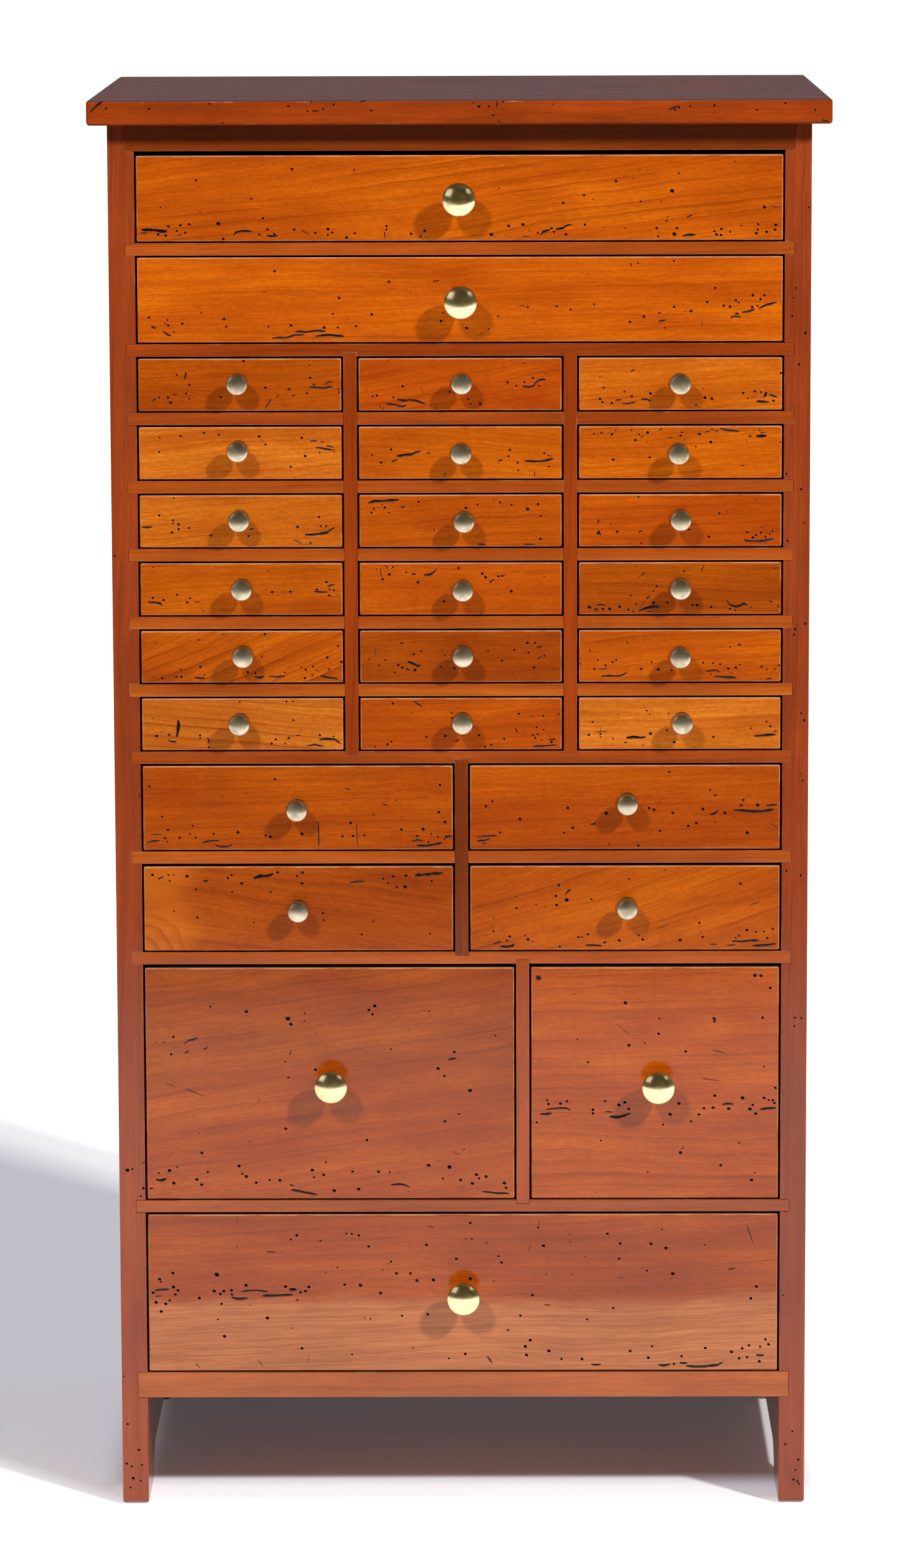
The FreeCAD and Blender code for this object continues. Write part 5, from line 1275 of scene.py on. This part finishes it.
for node, (wood, slot, ease) in CASE_BOARDS.items():
    board = make_case_board(node, ease)
    board.data.materials.append(WOOD[wood])
    board.data.materials.append(WOOD["worm_hole"])
    if node in CASE_HOLES:
        eat_into(board, make_worm_cutter(f"worm_{node}", (0, 0), CASE_HOLES[node], "", .8))
    if node == "top_board":
        eat_into(board, make_worm_cutter("worm_top", (0, 0), TOP_MARKS["holes"],
                                         TOP_MARKS["tracks"], .5, TOP_FACE))
    if node == "back_panel":
        sinks = add_discs("screw_sinks", SINK, BACK - 1.3, BACK + .6)
        darken_cuts(sinks)
        eat_into(board, sinks)
    smooth_over(board)
    tint(board, TINTS_WITH_PAINTED_LIGHT.get(node, []))
    fit(board, "case", node)

back_screws = make_back_screws()
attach(back_screws, "case")


# ------------------------------------------------------------------ the drawers

# How much lighter a drawer's foot is than its head.
FALLS = {"11_left": .13, "11_right": -.04}
LARGE_KNOB_ROWS = ("01", "02", "11", "12")

knobs = {
    "aged": turn_knob("turned_knob_small", small_outline()),
    "polished": turn_knob("turned_knob_large", large_outline()),
}
for finish, pattern in knobs.items():
    take_up(pattern)
    pattern.data.materials.append(BRASS[finish])
    bpy.ops.object.shade_smooth_by_angle(angle=math.radians(35))

for count, (place, row, middle, opening) in enumerate(drawer_list()):
    floor, height, gap, board = ROWS[row]
    low, high = floor + FLOOR_GAP, floor + height - gap
    half_width = opening / 2 - GAP
    light, redness, slope, spacing, strength = WOODS[place]
    front = make_front(place, middle, low, high, half_width, board)
    note(front, "tone", (light, redness, FALLS.get(place, 0), 1))
    note(front, "figure", (count * 1.37 + 2, slope, spacing * MM, strength))
    box = make_box(place, middle, floor, low, high, half_width, board)
    for piece in (front, box):
        fit(piece, f"drawer_{place}", f"drawer_{place}")
    finish = "polished" if row in LARGE_KNOB_ROWS else "aged"
    across, up = KNOB_SHIFT[place]
    knob = copy_piece(knobs[finish], f"turned_knob_{place}",
                      (middle + across, FACE, (low + high) / 2 + up))
    fit(knob, f"drawer_{place}", f"knob_{place}")

for pattern in knobs.values():
    bpy.data.objects.remove(pattern)


# ------------------------------------------------------------------ stage and camera

HALF_CASE = .245            # half the case's width, less a little
CASE_MIDDLE, HALF_DEPTH = .05, .15      # of the ground under the case, where the glow is painted dark as painted shade
SHADE_GLOW = .485           # how bright the floor's glow is left inside the cast shadow: a painted shadow level


def make_floor():
    """Plain white floor.  Its glow, seen only directly, is painted white all about, painted dim
    and bluish inside the shadow that the case casts to the left and back, and painted dark under
    the case: painted shadow and painted shade laid over the lamps' real shadow."""
    floor = new_piece("studio_floor")
    bpy.ops.mesh.primitive_circle_add(vertices=96, radius=60, fill_type="NGON")
    close_piece()
    made, tree, shader = start_material("white_floor")
    place = object_place(tree)
    axes = split(tree, place)
    across, back = axes["X"], axes["Y"]
    # how far outside the case, and how far over each edge of its shadow, which shape the painted
    # glow and painted shade
    beside = calc(tree, "MAXIMUM", calc(tree, "SUBTRACT", calc(
        tree, "ABSOLUTE", across), HALF_CASE), calc(tree, "SUBTRACT", calc(
            tree, "ABSOLUTE", calc(tree, "SUBTRACT", back, CASE_MIDDLE)), HALF_DEPTH))
    behind = calc(tree, "ADD", calc(tree, "MULTIPLY", across, .77),
                  calc(tree, "MULTIPLY", back, .64))
    ahead = calc(tree, "MULTIPLY", back, -1)
    left = calc(tree, "SUBTRACT", calc(tree, "MULTIPLY_ADD", across, -1.1, -.33), back)
    reach = put(tree, "ShaderNodeVectorMath", {0: place}, operation="LENGTH").outputs["Value"]
    # painted white glow, kept off inside the edges of the case's cast shadow
    painted_lit_glow = between(tree, reach, 1.7, 2.8)
    for distance, low, high in ((across, .24, .28), (left, -.02, .2), (behind, .30, .48),
                                (ahead, .1, .20)):
        painted_lit_glow = calc(tree, "MAXIMUM", painted_lit_glow, between(tree, distance, low, high))
    # painted shade: the glow drops almost to nothing under the case, and to the cast-shadow level
    # beside it
    painted_shade_glow = between(tree, beside, -.02, .03, .05, SHADE_GLOW)
    shader["Base Color"].default_value = (.94, .95, .96, 1)
    shader["Roughness"].default_value = .7
    shader["Specular IOR Level"].default_value = .1
    # bluish glow inside the cast shadow: painted shadow colour
    tree.links.new(mix(tree, painted_lit_glow, (.83, .86, 1), (1, 1, 1)), shader["Emission Color"])
    tree.links.new(calc(tree, "MULTIPLY", seen_directly(tree), calc(
        tree, "MAXIMUM", painted_shade_glow, painted_lit_glow)), shader["Emission Strength"])
    floor.data.materials.append(made)
    return floor


def make_flag(name, low, high):
    """Dark cloth that keeps the bright room off the brass, with a faint painted glow; the camera
    sees past it.
    """
    flag = new_piece(name)
    add_block(low, high)
    close_piece()
    made, tree, shader = start_material(f"{name}_cloth")
    tree.links.new(mix(tree, cloud(tree, object_place(tree), .8), (.05, .045, .02),
                       (.10, .085, .045)), shader["Base Color"])
    shader["Roughness"].default_value = .9
    # faint warm glow: painted light, the cloth glows though it is no lamp, standing in for the dim
    # room seen in the brass
    shader["Emission Color"].default_value = (1, .86, .5, 1)
    shader["Emission Strength"].default_value = .035
    flag.data.materials.append(made)
    flag.visible_camera = False
    flag.visible_shadow = False


def add_lamp(name, place, aim_height, power, size, off_floor=None, mirrored=False):
    """A square lamp aimed at the case.  It may miss the floor, and only a mirrored one
    shows in the brass and the varnish."""
    lamp = bpy.data.objects.new(name, bpy.data.lights.new(name, "AREA"))
    lamp.data.shape, lamp.data.size, lamp.data.energy = "SQUARE", size, power
    lamp.location = place
    aim = Vector((0, -.1 if place[1] < 0 else .1, aim_height))
    lamp.rotation_euler = (aim - Vector(place)).to_track_quat("-Z", "Y").to_euler()
    lamp.visible_camera = False
    lamp.visible_glossy = mirrored
    bpy.context.scene.collection.objects.link(lamp)
    if off_floor:
        kept_off = bpy.data.collections.new(f"{name}_misses")
        kept_off.objects.link(off_floor)
        kept_off.collection_objects[0].light_linking.link_state = "EXCLUDE"
        lamp.light_linking.receiver_collection = kept_off


# Dark cloths round the cabinet, between two corners in mm.
FLAGS = {
    "flag_front": ((-6000, -6540, 0), (6000, -6500, 6500)),
    "flag_left": ((-6040, -6500, 0), (-6000, 600, 6500)),
    "flag_right": ((6000, -6500, 0), (6040, 600, 6500)),
    "flag_above": ((-6000, -6540, 6500), (6000, 600, 6540)),
    "flag_low": ((-6000, -6500, 1), (6000, -2150, 3)),
    "flag_behind": ((-2200, 3000, 1150), (2200, 3020, 2600)),
}

floor = make_floor()
for name, (low, high) in FLAGS.items():
    make_flag(name, low, high)
add_lamp("key_lamp_right", (4.1, -4.5, 4.8), .5, power=445, size=.45)
add_lamp("key_lamp_left", (-2.0, -3.9, 3.75), .5, power=165, size=.45, off_floor=floor)
add_lamp("soft_card_left", (-3.4, -2.6, 3.2), .7, power=18, size=2.6, off_floor=floor,
         mirrored=True)
add_lamp("soft_card_right", (3.2, -2.4, 3.7), .7, power=6, size=1.6, off_floor=floor,
         mirrored=True)
add_lamp("back_lamp_left", (-3.2, 3.6, 3.2), .5, power=140, size=1.4, off_floor=floor)
add_lamp("back_lamp_right", (3.2, 3.6, 3.2), .5, power=140, size=1.4, off_floor=floor)

world = bpy.data.worlds.new("studio_room")
world.use_nodes = True
tree = world.node_tree
tree.nodes.clear()
# white where it is seen, and only a dim fill as a light
sky = put(tree, "ShaderNodeBackground", {
    "Color": (1, 1, 1, 1), "Strength": between(tree, seen_directly(tree), 0, 1, .12, 1)})
tree.links.new(sky.outputs[0], put(tree, "ShaderNodeOutputWorld").inputs["Surface"])
bpy.context.scene.world = world
bpy.context.scene.view_settings.view_transform = "Standard"

CAMERA_PLACE = (.023645, -4.51245, 1.23136)
CAMERA_TURNS = (9.099, -.339, -.178)    # pitch, yaw and roll, in degrees
LENS, SENSOR = 140, 36


def add_camera():
    """Long lens a little above the top drawer, tipped down at the case."""
    pitch, yaw, roll = (math.radians(angle) for angle in CAMERA_TURNS)
    ahead = Vector((math.sin(yaw) * math.cos(pitch), math.cos(yaw) * math.cos(pitch),
                    -math.sin(pitch)))
    right = Vector((math.cos(yaw), -math.sin(yaw), 0))
    up = right.cross(ahead)
    right, up = (right * math.cos(roll) + up * math.sin(roll),
                 up * math.cos(roll) - right * math.sin(roll))
    camera = bpy.data.objects.new("camera", bpy.data.cameras.new("camera"))
    camera.data.lens, camera.data.sensor_width = LENS, SENSOR
    camera.rotation_euler = Matrix((right, up, -ahead)).transposed().to_euler()
    camera.location = CAMERA_PLACE
    camera.data.clip_end = 200
    bpy.context.scene.collection.objects.link(camera)
    bpy.context.scene.camera = camera


add_camera()
